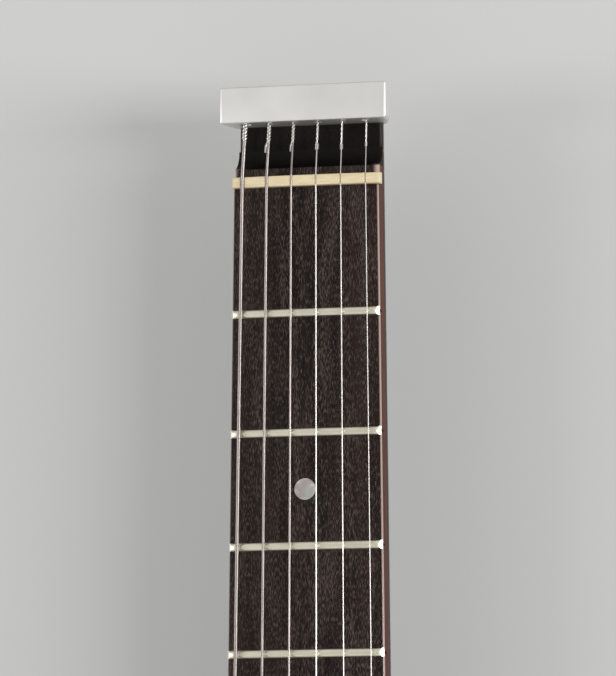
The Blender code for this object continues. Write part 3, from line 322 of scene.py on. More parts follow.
def turned(profile, sides=48, ripple=None):
    """A profile of (radius, height) points turned about Z. ripple multiplies the radii: it has one
    row for each point of the profile and one column for each side."""
    profile = np.asarray(profile, float)
    radius = profile[:, :1] * (np.ones((1, sides)) if ripple is None else ripple)
    angle = np.linspace(0, 2 * np.pi, sides, endpoint=False)
    height = np.broadcast_to(profile[:, 1:], radius.shape)
    return grid(np.dstack([radius * np.cos(angle), radius * np.sin(angle), height]))


def soft_profile(profile, radius, steps=3):
    """A turned profile with its corners rounded, apart from its two ends."""
    return eased(profile, radius, steps, closed=False)


def sweep(path, radius, sides=8, up=(0, 0, 1)):
    """A tube along a path: circles in the plane across it, spanned by the path's direction crossed
    with up, and by that side direction crossed with the path's direction."""
    path = np.asarray(path, float)
    ahead = unit(np.gradient(path, axis=0))
    side = unit(np.cross(ahead, np.array(up, float)))
    over = np.cross(side, ahead)
    angle = np.linspace(0, 2 * np.pi, sides, endpoint=False)
    radius = np.asarray(radius, float)
    radius = radius[:, None] if radius.ndim == 1 else radius
    radius = np.broadcast_to(radius, (len(path), sides))[..., None]
    spread = side[:, None] * np.cos(angle)[:, None] + over[:, None] * np.sin(angle)[:, None]
    return grid(path[:, None] + radius * spread)


def carved(surface, *tools):
    """The surface minus each tool in turn, by exact Booleans on throwaway objects."""
    objects = []
    for number, shape in enumerate((surface,) + tools):
        made = bpy.data.objects.new(f"carving_{number}", mesh_of("carving", shape))
        bpy.context.scene.collection.objects.link(made)
        objects.append(made)
    for tool in objects[1:]:
        modifier = objects[0].modifiers.new(tool.name, "BOOLEAN")
        modifier.object = tool
        modifier.operation = "DIFFERENCE"
        modifier.solver = "EXACT"
    seen = objects[0].evaluated_get(bpy.context.evaluated_depsgraph_get())
    mesh = bpy.data.meshes.new_from_object(seen)
    faces = [list(polygon.vertices) for polygon in mesh.polygons]
    for made in objects:
        bpy.data.objects.remove(made, do_unlink=True)
    return read(mesh.vertices, "co"), faces


sample = plate(circle(0.01), 0, 0.002, holes=[circle(0.004)])
print("a washer has", len(sample[0]), "points and", len(sample[1]), "faces")

# %% [markdown]
# ## Shader groups
# Several finishes share an effect, such as the figure of wood or the fine grit of a blasted face.
# Each effect is a node group built once. It puts out only colours, masks and heights, and the
# shader that uses them stays in each material.

# %% Node helpers


def add(tree, kind, inputs=None, **settings):
    """Add one node, set its properties, and link or set its inputs by name or number."""
    made = tree.nodes.new("ShaderNode" + kind)
    for key, value in settings.items():
        setattr(made, key, value)
    for key, value in (inputs or {}).items():
        if isinstance(value, bpy.types.NodeSocket):
            tree.links.new(value, made.inputs[key])
        else:
            made.inputs[key].default_value = value
    return made


def new_group(name, inputs, outputs):
    """An empty node group with named sockets, and its own input and output nodes."""
    tree = bpy.data.node_groups.new(name, "ShaderNodeTree")
    for label, kind, value in inputs:
        socket = tree.interface.new_socket(name=label, in_out="INPUT", socket_type="NodeSocket" + kind)
        if value is not None:
            socket.default_value = value
    for label, kind in outputs:
        tree.interface.new_socket(name=label, in_out="OUTPUT", socket_type="NodeSocket" + kind)
    return tree, tree.nodes.new("NodeGroupInput").outputs, tree.nodes.new("NodeGroupOutput").inputs


def stretched_noise(tree, position, stretch, scale, detail=3.0, roughness=0.55):
    """Noise on coordinates that are multiplied by a stretch, so that it is drawn out along one."""
    moved = add(tree, "VectorMath", {0: position, 1: stretch}, operation="MULTIPLY")
    return add(tree, "TexNoise", {
        "Vector": moved.outputs[0], "Scale": scale, "Detail": detail, "Roughness": roughness,
    }).outputs["Fac"]


def span(tree, value, low, high, to_low=0.0, to_high=1.0):
    """Map a range of values to another, and hold the ends."""
    return add(tree, "MapRange", {
        "Value": value, "From Min": low, "From Max": high, "To Min": to_low, "To Max": to_high,
    }).outputs["Result"]


def maths(tree, operation, a, b=0.0):
    """One sum, product or other step of arithmetic on two sockets or numbers."""
    return add(tree, "Math", {0: a, 1: b}, operation=operation).outputs[0]


def mix_colours(tree, share, first, second):
    """A share of the second colour in the first."""
    return add(tree, "MixRGB", {"Fac": share, "Color1": first, "Color2": second}).outputs[0]


print("node helpers ready")

# %% [markdown]
# Wood cut along the neck shows long fibres and short open pores. Even noise would look like stone,
# so each noise is drawn out along the grain, and a slower one gathers the pores in patches. The
# neck, the body and the redder sides of the board all share this figure.

# %% Wood figure


def build_wood_figure():
    """Wood cut along Y: broad bands and fine streaks drawn out along the grain, and short open
    pores that gather in patches. Height is the streaks with the pores sunk below them."""
    tree, given, put_out = new_group("wood_figure", [
        ("Position", "Vector", None), ("Dark", "Color", (0.01, 0.007, 0.005, 1)),
        ("Light", "Color", (0.03, 0.02, 0.015, 1)), ("Pore", "Color", (0.1, 0.08, 0.07, 1)),
        ("Pores", "Float", 0.5),
    ], [("Color", "Color"), ("Mask", "Float"), ("Height", "Float")])
    position = given["Position"]
    bands = stretched_noise(tree, position, (1, 0.03, 1), 130, 2)
    streaks = stretched_noise(tree, position, (1, 0.04, 1), 1100, 4, 0.65)
    pores = stretched_noise(tree, position, (1, 0.19, 1), 4000, 1, 0.4)
    patches = stretched_noise(tree, position, (1, 0.12, 1), 260, 2)
    bands = maths(tree, "MULTIPLY", bands, 0.5)
    mixed = maths(tree, "ADD", bands, maths(tree, "MULTIPLY", streaks, 0.5))
    share = span(tree, mixed, 0.40, 0.60)
    colour = mix_colours(tree, share, given["Dark"], given["Light"])
    edge = maths(tree, "SUBTRACT", 0.69, maths(tree, "MULTIPLY", patches, 0.42))
    mask = maths(tree, "MULTIPLY", span(tree, maths(tree, "SUBTRACT", pores, edge), 0, 0.30), given["Pores"])
    colour = mix_colours(tree, mask, colour, given["Pore"])
    tree.links.new(colour, put_out["Color"])
    tree.links.new(mask, put_out["Mask"])
    height = maths(tree, "SUBTRACT", maths(tree, "MULTIPLY", streaks, 0.35), mask)
    tree.links.new(height, put_out["Height"])
    return tree


WOOD_FIGURE = build_wood_figure()
print("wood figure with", len(WOOD_FIGURE.nodes), "nodes")

# %% [markdown]
# Metal that is handled gathers smudges, and a blasted or moulded face has an even grit. Both are
# fine enough to be noise and a bump rather than shape.

# %% Smudges and grit


def build_handled_metal():
    """Metal that has been handled: cloudy smudges a few millimetres wide, and fine hairlines."""
    tree, given, put_out = new_group("handled_metal", [
        ("Position", "Vector", None), ("Clouds", "Float", 220.0),
    ], [("Smudge", "Float"), ("Hairline", "Float")])
    clouds = add(tree, "TexNoise", {"Vector": given["Position"], "Scale": given["Clouds"], "Detail": 4.0})
    tree.links.new(span(tree, clouds.outputs["Fac"], 0.35, 0.7), put_out["Smudge"])
    lines = stretched_noise(tree, given["Position"], (1, 0.05, 1), 5000, 2)
    tree.links.new(span(tree, lines, 0.45, 0.75), put_out["Hairline"])
    return tree


def build_fine_grit():
    """The even grit of a blasted face or of moulded plastic: fine noise as a height, and a slow
    change of tone."""
    tree, given, put_out = new_group("fine_grit", [
        ("Position", "Vector", None), ("Grain", "Float", 7000.0),
    ], [("Height", "Float"), ("Tone", "Float")])
    grain = add(tree, "TexNoise", {"Vector": given["Position"], "Scale": given["Grain"], "Detail": 2.0})
    tree.links.new(grain.outputs["Fac"], put_out["Height"])
    slow = add(tree, "TexNoise", {"Vector": given["Position"], "Scale": 90.0, "Detail": 3.0})
    tree.links.new(span(tree, slow.outputs["Fac"], 0.3, 0.7), put_out["Tone"])
    return tree


HANDLED_METAL = build_handled_metal()
FINE_GRIT = build_fine_grit()
print("groups:", [group.name for group in bpy.data.node_groups])

# %% [markdown]
# ## Finishes
# Each finish sets its constant values on the shader's own sockets and takes what changes over the
# surface from the groups. Real lacquer, oil, plate and plastic differ mostly in roughness and in
# how strongly they mirror the room, so these are chosen piece by piece.

# %% Finish helpers


def new_material(name, **sockets):
    """A material with a Principled shader, its object coordinates, and set sockets."""
    made = bpy.data.materials.new(name)
    made.use_nodes = True
    tree = made.node_tree
    shader = tree.nodes["Principled BSDF"]
    for label, value in sockets.items():
        shader.inputs[label.replace("_", " ")].default_value = value
    position = add(tree, "TexCoord").outputs["Object"]
    return made, tree, shader, position


def use_group(tree, group, inputs):
    """Place a shared group in a material with this material's own values."""
    return add(tree, "Group", inputs, node_tree=group).outputs


def read_marks(tree, *names):
    """Numbers that a piece keeps for its points or faces, as sockets."""
    return [add(tree, "Attribute", attribute_name=name).outputs["Fac"] for name in names]


def bump(tree, shader, height, strength, distance):
    """Feed a height to the shader's normal."""
    made = add(tree, "Bump", {"Height": height, "Strength": strength, "Distance": distance})
    tree.links.new(made.outputs["Normal"], shader.inputs["Normal"])


# %% [markdown]
# The board is open-pored wood, nearly black, with pale flecks in its pores that are partly dust and
# partly painted glints, and redder wood where it was sawn. A photograph of wood would stretch and
# repeat, so noise drawn out along the grain makes the figure, and numbers kept on the board's own
# points say where another tone takes over, and where a painted highlight and painted shade lie.

# %% Woods
# Near-black colour of painted shade, for the cove and the tongue where shade falls.
PAINTED_SHADE_COLOUR = (0.0034, 0.0022, 0.0017, 1)


def wood(name, dark, light, pore, rough, pores, depth, specular):
    """Stained or oiled wood: the figure colours it, and its open pores are rougher and sunk."""
    made, tree, shader, position = new_material(name, Specular_IOR_Level=specular, Coat_Roughness=0.12)
    figure = use_group(tree, WOOD_FIGURE, {
        "Position": position, "Dark": (*dark, 1), "Light": (*light, 1), "Pore": (*pore, 1), "Pores": pores,
    })
    tree.links.new(figure["Color"], shader.inputs["Base Color"])
    tree.links.new(span(tree, figure["Mask"], 0, 1, rough, rough + 0.2), shader.inputs["Roughness"])
    bump(tree, shader, figure["Height"], 0.6, depth)
    return made, tree, shader, figure


def board_finish():
    """Very dark oiled wood with pale flecks in its pores, partly dust and partly painted glints.
    Attributes of the board's own surface tell where it shows redder sawn wood, a painted highlight
    with some rubbed wear along the rolled edge, or painted shade on the cove at its end."""
    # The pale pore colour is partly dust and partly painted glints.
    made, tree, shader, figure = wood(
        "oiled_board", (0.0050, 0.0027, 0.0019), (0.0185, 0.0104, 0.0077), (0.110, 0.081, 0.069),
        0.42, 0.8, 0.00006, 0.13,
    )
    position = add(tree, "TexCoord").outputs["Object"]
    red = use_group(tree, WOOD_FIGURE, {
        "Position": position, "Dark": (0.048, 0.018, 0.011, 1), "Light": (0.105, 0.044, 0.030, 1),
        "Pore": (0.150, 0.080, 0.062, 1), "Pores": 0.5,
    })
    side, worn, scooped = read_marks(tree, "side", "worn", "scooped")
    # Painted shade: the cove and its sawn sides turn near-black.
    colour = mix_colours(tree, scooped, figure["Color"], PAINTED_SHADE_COLOUR)
    edge_wood = mix_colours(tree, maths(tree, "MULTIPLY", scooped, 0.8), red["Color"], PAINTED_SHADE_COLOUR)
    colour = mix_colours(tree, side, colour, edge_wood)
    # Painted highlight with some rubbed wear: a pale pinkish line low on each rolled edge.
    colour = mix_colours(tree, maths(tree, "MULTIPLY", worn, 0.9), colour, (0.47, 0.335, 0.285, 1))
    tree.links.new(colour, shader.inputs["Base Color"])
    tree.links.new(worn, shader.inputs["Coat Weight"])
    tree.links.new(span(tree, side, 0, 1, 0.15, 0.06), shader.inputs["Specular IOR Level"])
    return made


def stained_finish():
    """A near-black brown stain rubbed to a satin gloss, as on the tongue behind the nut. The
    pooled attribute tells where painted shade darkens it towards the cove, and rim
    where a hand polishes it."""
    made, tree, shader, figure = wood(
        "stained_wood", (0.0040, 0.0026, 0.0021), (0.0135, 0.0082, 0.0064), (0.022, 0.014, 0.011),
        0.26, 0.12, 0.00003, 0.15,
    )
    pooled, rim = read_marks(tree, "pooled", "rim")
    # Painted shade: the tongue darkens from the block towards the cove.
    colour = mix_colours(tree, pooled, figure["Color"], PAINTED_SHADE_COLOUR)
    tree.links.new(colour, shader.inputs["Base Color"])
    tree.links.new(rim, shader.inputs["Coat Weight"])
    return made


BOARD_WOOD = board_finish()
STAINED_WOOD = stained_finish()
print("woods:", BOARD_WOOD.name, STAINED_WOOD.name)

# %% [markdown]
# The metals differ in colour, in how they were worked and in how much they are handled: blasted
# aluminium, nickel plate, fret wire, string steel and brass. One flat value would look like a toy,
# so smudges change colour and roughness a little from place to place.

# %% Metals


def metal(name, colour, rough, rougher=0.12, hairline=0.0, clouds=220.0):
    """Polished or plated metal: smudges raise its roughness and dull its colour a little."""
    made, tree, shader, position = new_material(name, Metallic=1.0)
    handled = use_group(tree, HANDLED_METAL, {"Position": position, "Clouds": clouds})
    dull = tuple(0.82 * c for c in colour)
    smudge = handled["Smudge"]
    tree.links.new(mix_colours(tree, smudge, (*colour, 1), (*dull, 1)), shader.inputs["Base Color"])
    tree.links.new(span(tree, smudge, 0, 1, rough, rough + rougher), shader.inputs["Roughness"])
    if hairline:
        bump(tree, shader, handled["Hairline"], hairline, 0.00002)
    return made


def blasted_finish():
    """Bead-blasted aluminium: a fine grit breaks its mirror into an even, silky sheen. The faces
    marked as cut are the countersinks, turned bright after the blasting."""
    made, tree, shader, position = new_material("blasted_aluminium", Metallic=0.75)
    grit = use_group(tree, FINE_GRIT, {"Position": position, "Grain": 6500.0})
    colour = mix_colours(tree, grit["Tone"], (0.79, 0.775, 0.745, 1), (0.83, 0.815, 0.785, 1))
    cut, = read_marks(tree, "cut")
    colour = mix_colours(tree, cut, colour, (0.95, 0.94, 0.92, 1))
    tree.links.new(colour, shader.inputs["Base Color"])
    rough = span(tree, grit["Tone"], 0, 1, 0.40, 0.46)
    rough = maths(tree, "SUBTRACT", rough, maths(tree, "MULTIPLY", cut, 0.16))
    tree.links.new(rough, shader.inputs["Roughness"])
    bump(tree, shader, grit["Height"], 0.35, 0.00004)
    return made


BLASTED = blasted_finish()
NICKEL = metal("satin_nickel", (0.72, 0.70, 0.66), 0.20, hairline=0.3)
FRET_METAL = metal("polished_fret_wire", (0.95, 0.90, 0.72), 0.30, 0.08)
WOUND_METAL = metal("string_winding", (0.42, 0.375, 0.355), 0.30, 0.04, clouds=60.0)
PLAIN_METAL = metal("plain_string", (0.80, 0.765, 0.735), 0.31, 0.03, clouds=60.0)
BRASS = metal("turned_brass", (0.66, 0.48, 0.20), 0.24)
STEEL = metal("plain_steel_part", (0.40, 0.40, 0.41), 0.36, hairline=0.4)
BLACK_STEEL = metal("black_oxide_steel", (0.035, 0.035, 0.037), 0.38)
print("metals:", [m.name for m in (BLASTED, NICKEL, FRET_METAL, WOUND_METAL, BRASS, STEEL)])

# %% [markdown]
# The nut is bone, the dots are shell and the knob is moulded plastic. All three are soft to look
# at: light goes a little way into bone, shell shows clouds under a polished face, and moulded
# plastic has a fine grain. Each gets one noise for its colour and a faint bump.

# %% Bone, pearl and plastic


def bone_finish():
    """Bone is cream with faint long streaks, and light goes a little way into it."""
    made, tree, shader, position = new_material(
        "cream_bone", Roughness=0.36, Subsurface_Weight=0.12, Subsurface_Scale=0.0012,
        Specular_IOR_Level=0.4,
    )
    streak = stretched_noise(tree, position, (0.12, 1, 1), 1800, 3)
    colour = mix_colours(tree, span(tree, streak, 0.35, 0.7), (0.78, 0.665, 0.435, 1), (0.66, 0.545, 0.34, 1))
    tree.links.new(colour, shader.inputs["Base Color"])
    bump(tree, shader, streak, 0.15, 0.00003)
    return made


def pearl_finish():
    """Shell: soft clouds between warm, cool and light greys under a clear polished face."""
    made, tree, shader, position = new_material(
        "shell_dot", Roughness=0.3, Coat_Weight=0.5, Coat_Roughness=0.08, Specular_IOR_Level=0.5,
    )
    swirl = add(tree, "TexNoise", {"Vector": position, "Scale": 260.0, "Detail": 1.0, "Distortion": 0.6})
    share = span(tree, swirl.outputs["Fac"], 0.42, 0.58)
    colour = mix_colours(tree, share, (0.355, 0.310, 0.295, 1), (0.385, 0.385, 0.360, 1))
    gleam = stretched_noise(tree, position, (1, 1.4, 1), 420, 2)
    colour = mix_colours(tree, span(tree, gleam, 0.52, 0.72), colour, (0.60, 0.58, 0.55, 1))
    tree.links.new(colour, shader.inputs["Base Color"])
    return made


def plastic_finish(name, colour, rough):
    """Moulded plastic with a fine grain."""
    made, tree, shader, position = new_material(name, Specular_IOR_Level=0.45)
    grit = use_group(tree, FINE_GRIT, {"Position": position, "Grain": 3800.0})
    paler = tuple(1.35 * c for c in colour)
    tree.links.new(mix_colours(tree, grit["Tone"], (*colour, 1), (*paler, 1)), shader.inputs["Base Color"])
    tree.links.new(span(tree, grit["Tone"], 0, 1, rough, rough + 0.1), shader.inputs["Roughness"])
    bump(tree, shader, grit["Height"], 0.2, 0.00004)
    return made


BONE = bone_finish()
SHELL = pearl_finish()
BLACK = plastic_finish("black_moulding", (0.016, 0.016, 0.017), 0.38)
IVORY = plastic_finish("pale_inlay", (0.62, 0.60, 0.55), 0.4)
print("other finishes:", BONE.name, SHELL.name, BLACK.name)

# %% [markdown]
# ## Head block
# The strings end in a machined aluminium block whose end view follows the neck: flat on top, short
# straight sides, round back. It could be a bevelled box, but its outline carried along Y, with the
# string holes turned through it, gives the true edges and countersinks.

# %% Head block
BLOCK_HALF = 0.0247
BLOCK_STRAIGHT = 0.0028
BLOCK_DEPTH = 0.0230
MOUTH_RADIUS = 0.0017
HOLE_RADIUS = 0.0012
POCKET_RADIUS = 0.0022
POCKET_DEPTH = 0.0055
SINK_RADIUS = 0.0030
SINK_DEPTH = 0.0036
SINK_HEIGHT = 0.0330
SINK_PLACES = {"bass": (-0.0130, SINK_HEIGHT), "treble": (0.0130, SINK_HEIGHT)}


def block_outline():
    """Half an ellipse below the straight sides, and rounded corners above them."""
    angle = np.linspace(np.pi, 2 * np.pi, 61)
    low = BLOCK_TOP - BLOCK_STRAIGHT
    back = np.column_stack([
        BLOCK_HALF * np.cos(angle), low + (BLOCK_DEPTH - BLOCK_STRAIGHT) * np.sin(angle),
    ])
    top = eased([(BLOCK_HALF, low), (BLOCK_HALF, BLOCK_TOP), (-BLOCK_HALF, BLOCK_TOP), (-BLOCK_HALF, low)],
                0.0008, 5, closed=False)
    return np.vstack([back, top[1:-1]])


def tube_through(centre, profile, sides=32):
    """The wall of a round hole along Y: a circle at each (radius, y) of its profile."""
    rings = np.array([
        np.column_stack([circle(radius, sides, centre), np.full(sides, y)]) for radius, y in profile
    ])
    return grid(rings, caps=False)


def make_head_block():
    """Side wall, two pierced end faces, and the holes between them. Local axes: x, z, then y. The
    edge is widest at the straight sides and narrow at the back, where the screws sit near it."""
    outline = block_outline()
    below = BLOCK_TOP - outline[:, 1]
    edge = np.interp(below, [0, 0.001, 0.007, 0.011], [0.0005, 0.0012, 0.0012, 0.0003])
    side = wall(outline, BLOCK_FACE, BLOCK_BACK, edge, steps=5)
    centres = [(string_x(n, BACK), HOLE_HEIGHT) for n in range(6)]
    deep = BLOCK_BACK - POCKET_DEPTH
    holes = [tube_through(centre, [
        (MOUTH_RADIUS, BLOCK_FACE), (HOLE_RADIUS, BLOCK_FACE + MOUTH_RADIUS - HOLE_RADIUS),
        (HOLE_RADIUS, deep), (POCKET_RADIUS, deep), (POCKET_RADIUS, BLOCK_BACK),
    ]) for centre in centres]
    sinks = []
    floor = BLOCK_BACK - SINK_DEPTH
    for place in SINK_PLACES.values():
        rings = [(SINK_RADIUS, BLOCK_BACK), (SINK_RADIUS, floor), (0.0004, floor)]
        points, faces = tube_through(place, rings)
        faces.append(list(range(len(points) - 32, len(points))))
        sinks.append((points, faces))
    front = cap([side[0, :, :2]] + [circle(MOUTH_RADIUS, 32, c) for c in centres], BLOCK_FACE)
    rear_holes = [circle(POCKET_RADIUS, 32, c) for c in centres]
    rear_holes += [circle(SINK_RADIUS, 32, place) for place in SINK_PLACES.values()]
    rear = cap([side[-1, :, :2]] + rear_holes, BLOCK_BACK)
    shape = join(grid(side, caps=False), front, rear, *holes, *sinks)
    return put(shape, axes=SWAPPED)


def mark_countersinks(block):
    """cut is 1 on the faces of the cones at the mouths of the string holes."""
    centres = read(block.data.polygons, "center")
    slanted = np.abs(np.abs(read(block.data.polygons, "normal")[:, 1]) - 0.7) < 0.2
    holes = np.array([string_x(n, BACK) for n in range(6)])
    off = np.hypot(centres[:, :1] - holes, centres[:, 2:] - HOLE_HEIGHT).min(axis=1)
    near = (off < MOUTH_RADIUS) & (centres[:, 1] < BLOCK_FACE + 0.001)
    mark(block.data, "cut", slanted & near, "FACE")
    return int((slanted & near).sum())


block = piece("anchor_block", make_head_block(), BLASTED, stands_for=["head_block"])
print("countersink faces:", mark_countersinks(block))


def socket_screw(radius, socket, head, depth, shank, length):
    """A cap screw, its top at height 0: a pierced ring on a shank, with a six-sided socket."""
    ring = plate(circle(radius), -head, 0, 0.0003, [circle(socket, 6)], 0.0001)
    stem = turned([(radius - 0.0004, -depth), (radius - 0.0004, 0.0002 - head), (shank, 0.0001 - head),
                   (shank, 0.001 - length), (0.0004, -length)], 24)
    return join(ring, stem)


for name, (x, height) in SINK_PLACES.items():
    screw = socket_screw(0.0029, 0.0014, 0.0030, 0.0016, 0.0016, 0.0220)
    screw = put(screw, (x, BLOCK_BACK - SEAM, height), HEADWARD)
    piece(f"block_cap_screw_{name}", screw, BLACK_STEEL,
          stands_for=[f"block_screw_{name}"])
print("block from y", round(BLOCK_FACE, 4), "to", round(BLOCK_BACK, 4))

# %% [markdown]
# ## Fingerboard
# A long board with a round top, rolled edges and sawn fret slots, and behind the nut a ledge that
# falls in a cove to the neck. One cross-section carried along the neck gives all of it: at a slot
# the section is doubled and lowered to the slot's floor. The side attribute marks the sawn sides.

# %% Fingerboard
BOARD_END = fret_distance(FRETS) + 0.0085
ROLL = 0.0007
LEDGE_ROLL = 0.0020
SLOT_HALF = 0.00032
SLOT_FLOOR = BOARD_TOP - 0.0029
NUT_SEAT = BOARD_TOP - 0.0014
COVE_START = NUT_THICK + 0.0023
COVE_RADIUS = BOARD_TOP - BODY_TOP - 0.0001


def board_stations():
    """Distances along the board, each with the height that its section is lowered to. Slots and
    the nut's seat have two sections at the same place, one above the other."""
    rows = [(BOARD_END, BOARD_TOP - 0.0005), (BOARD_END - 0.0001, BOARD_TOP - 0.0002)]
    rows += [(BOARD_END - 0.0004, 1)]
    for number in range(FRETS, 0, -1):
        at = fret_distance(number)
        rows += [(at + SLOT_HALF, 1), (at + SLOT_HALF, SLOT_FLOOR), (at - SLOT_HALF, SLOT_FLOOR),
                 (at - SLOT_HALF, 1)]
    rows += [(0.0002, 1), (0.0002, NUT_SEAT), (-NUT_THICK - 0.0002, NUT_SEAT), (-NUT_THICK - 0.0002, 1)]
    angle = np.linspace(np.pi / 2, 0, 20)
    reach = COVE_START + COVE_RADIUS * (1 - np.sin(angle))
    fall = BOARD_TOP - COVE_RADIUS * np.cos(angle)
    rows += [(-COVE_START, BOARD_TOP)] + list(zip(-reach[1:], fall[1:]))
    return np.array(rows)


def board_surface():
    """Section: up the side, round the rolled edge, across the crowned top in 21 points, and down
    the other side. Each height is the lower one of the section's own and the station's."""
    rows = board_stations()
    half = board_half(rows[:, :1])
    roll = np.where(rows[:, :1] < -NUT_THICK, LEDGE_ROLL, ROLL)
    turn = np.linspace(0, np.pi / 2, 11)
    across = np.linspace(1, -1, 21)[None, 1:-1]
    roll_x = half - roll + roll * np.cos(turn)
    roll_z = BOARD_TOP - crown_drop(half - roll) - roll + roll * np.sin(turn)
    top_x = (half - roll) * across
    top_z = BOARD_TOP - crown_drop(top_x)
    foot = np.full_like(half, BODY_TOP)
    waist = roll_z[:, :1] - 0.4 * roll
    x = np.hstack([half, half, roll_x, top_x, -roll_x[:, ::-1], -half, -half])
    z = np.hstack([foot, waist, roll_z, top_z, roll_z[:, ::-1], waist, foot])
    z = np.maximum(np.minimum(z, rows[:, 1:]), BODY_TOP)
    y = np.broadcast_to(along(rows[:, :1]), x.shape)
    return grid(np.dstack([x, y, z]))


def mark_sides(board):
    """turn is 0 on the top, 1 at the foot of the rolled edge and more below it: the arc's own
    tangent gives it. side is 1 on the sawn side, worn marks a thin line low on
    the roll, a painted highlight with some rubbed wear, and scooped is 1 on the cove,
    where shade is painted."""
    mesh = board.data
    points = read(mesh.vertices, "co")
    distance = NUT_FRONT - points[:, 1]
    ledge = (distance < -NUT_THICK) & (distance > -COVE_START - 0.0012)
    roll = np.where(ledge, LEDGE_ROLL, ROLL)
    inward = np.clip((board_half(distance) - np.abs(points[:, 0])) / roll, 0, 1)
    fall = (BOARD_TOP - crown_drop(board_half(distance) - roll) - points[:, 2]) / roll
    turn = np.arctan2(1 - inward, np.clip(1 - fall, 1e-6, None)) / (np.pi / 2)
    turn = turn + np.clip(fall - 1, 0, None) * (inward < 0.999)
    cove = np.clip((-COVE_START - distance) / 0.0004, 0, 1)
    mark(mesh, "side", np.clip((turn - 0.45) / 0.3, 0, 1))
    # A painted highlight with some rubbed wear, fainter on the cove.
    mark(mesh, "worn", np.clip(1.4 - np.abs(turn - 0.72) / 0.36, 0, 1) * (1 - 0.7 * cove))
    # Painted shade on the cove.
    mark(mesh, "scooped", cove)


board = piece("slotted_board", board_surface(), BOARD_WOOD, stands_for=["fingerboard"])
mark_sides(board)
print("board", len(board.data.polygons), "faces, ends", round(BOARD_END * 1000, 1), "mm from the nut")

# %% [markdown]
# ## Frets, dots and nut
# Fret wire has a mushroom crown over a thin tang. It is pressed into its slot, follows the round of
# the board and is filed to a bevel at the ends. A bevelled bar bent by a modifier would do, but its
# half oval, carried across the board as a grid, gives the filed end face too.

# %% Frets
CROWN_HALF = 0.00123
CROWN_HEIGHT = 0.0009


def fret_surface(number):
    """The crown is a half oval carried across the board; its end row is moved in by 1.1 times each
    point's rise, which makes the filed bevel a flat face. The tang is a thin strip below it."""
    at = fret_distance(number)
    half = board_half(at) - 0.00005
    across = np.linspace(-1, 1, 17)[:, None]
    angle = np.linspace(0, np.pi, 15)
    rise = CROWN_HEIGHT * np.sin(angle) ** 0.75
    x = np.vstack([-(half - 1.1 * rise), across * (half - 0.0020) * np.ones_like(angle), half - 1.1 * rise])
    y = along(at) + np.broadcast_to(CROWN_HALF * np.cos(angle), x.shape)
    crown = grid(np.dstack([x, y, BOARD_TOP - crown_drop(x) + rise + 0.00002]))
    x = across * (half - 0.0004) * np.ones(4)
    y = along(at) + np.broadcast_to(np.array([-1, -1, 1, 1]) * 0.00025, x.shape)
    top = BOARD_TOP - crown_drop(x) + 0.0003
    z = np.where(np.array([1, 0, 0, 1]), BOARD_TOP - 0.0026, top)
    return join(crown, grid(np.dstack([x, y, z])))


for number in range(1, FRETS + 1):
    piece(f"fret_wire_{number:02d}", fret_surface(number), FRET_METAL,
          stands_for=[f"fret_{number:02d}"], angle=50)
print(FRETS, "frets, the last", round(fret_distance(FRETS) * 1000, 1), "mm from the nut")

# %% [markdown]
# Position dots are shell discs glued in round pockets and sanded with the board. A turned disc with
# a faintly domed face keeps the soft edge that sanding leaves, which a plain cylinder lacks.

# %% Position dots
DOT_RADIUS = 0.0032
DOT_FRETS = (3, 5, 7, 9, 15, 17, 19)


def dot_surface(x, distance):
    """A disc set in the board, its top a shallow dome that just clears the wood."""
    top = BOARD_TOP - crown_drop(x) + 0.00014
    disc = turned(soft_profile([
        (0.0003, 0), (0.0012, -0.00001), (0.0021, -0.00005), (DOT_RADIUS - 0.0002, -0.00012),
        (DOT_RADIUS, -0.00018), (DOT_RADIUS, -0.0011), (0.0003, -0.0011),
    ], 0.00005), 48)
    return put(disc, (x, along(distance), top))


def middle(fret):
    """Half way between a fret and the one before it."""
    return (fret_distance(fret - 1) + fret_distance(fret)) / 2


for fret in DOT_FRETS:
    piece(f"position_dot_{fret:02d}", dot_surface(0, middle(fret)), SHELL)
for side, name in ((-1, "bass"), (1, "treble")):
    piece(f"position_dot_12_{name}", dot_surface(side * 0.013, middle(12)), SHELL)
print("dots at frets", DOT_FRETS, "and a pair at 12")

# %% [markdown]
# The nut is a bar of bone with six round-bottomed slots filed into its top for the strings. The
# slots could be cut with Booleans, but its top is simply a height worked out at many places across,
# closer together near each slot.

# %% Nut
NUT_RISE = 0.0019
NUT_LOW = BOARD_TOP - 0.0012
NUT_ENDS = (-0.0001, 0.0010)


def nut_tops(x):
    """Height of the nut's top at x: the board's round plus its rise, less at a string: there it is
    the slot's floor plus radius less the root of radius squared less distance squared."""
    height = BOARD_TOP + NUT_RISE - crown_drop(x)
    for number, diameter in enumerate(DIAMETERS):
        radius = diameter / 2 + 0.00005
        off = np.abs(x - string_x(number, 0))
        floor = string_height(number, 0) - diameter / 2 - 0.00002
        round_floor = floor + radius - np.sqrt(np.clip(radius**2 - off**2, 0, None))
        height = np.where(off < radius, np.minimum(height, round_floor), height)
    return height


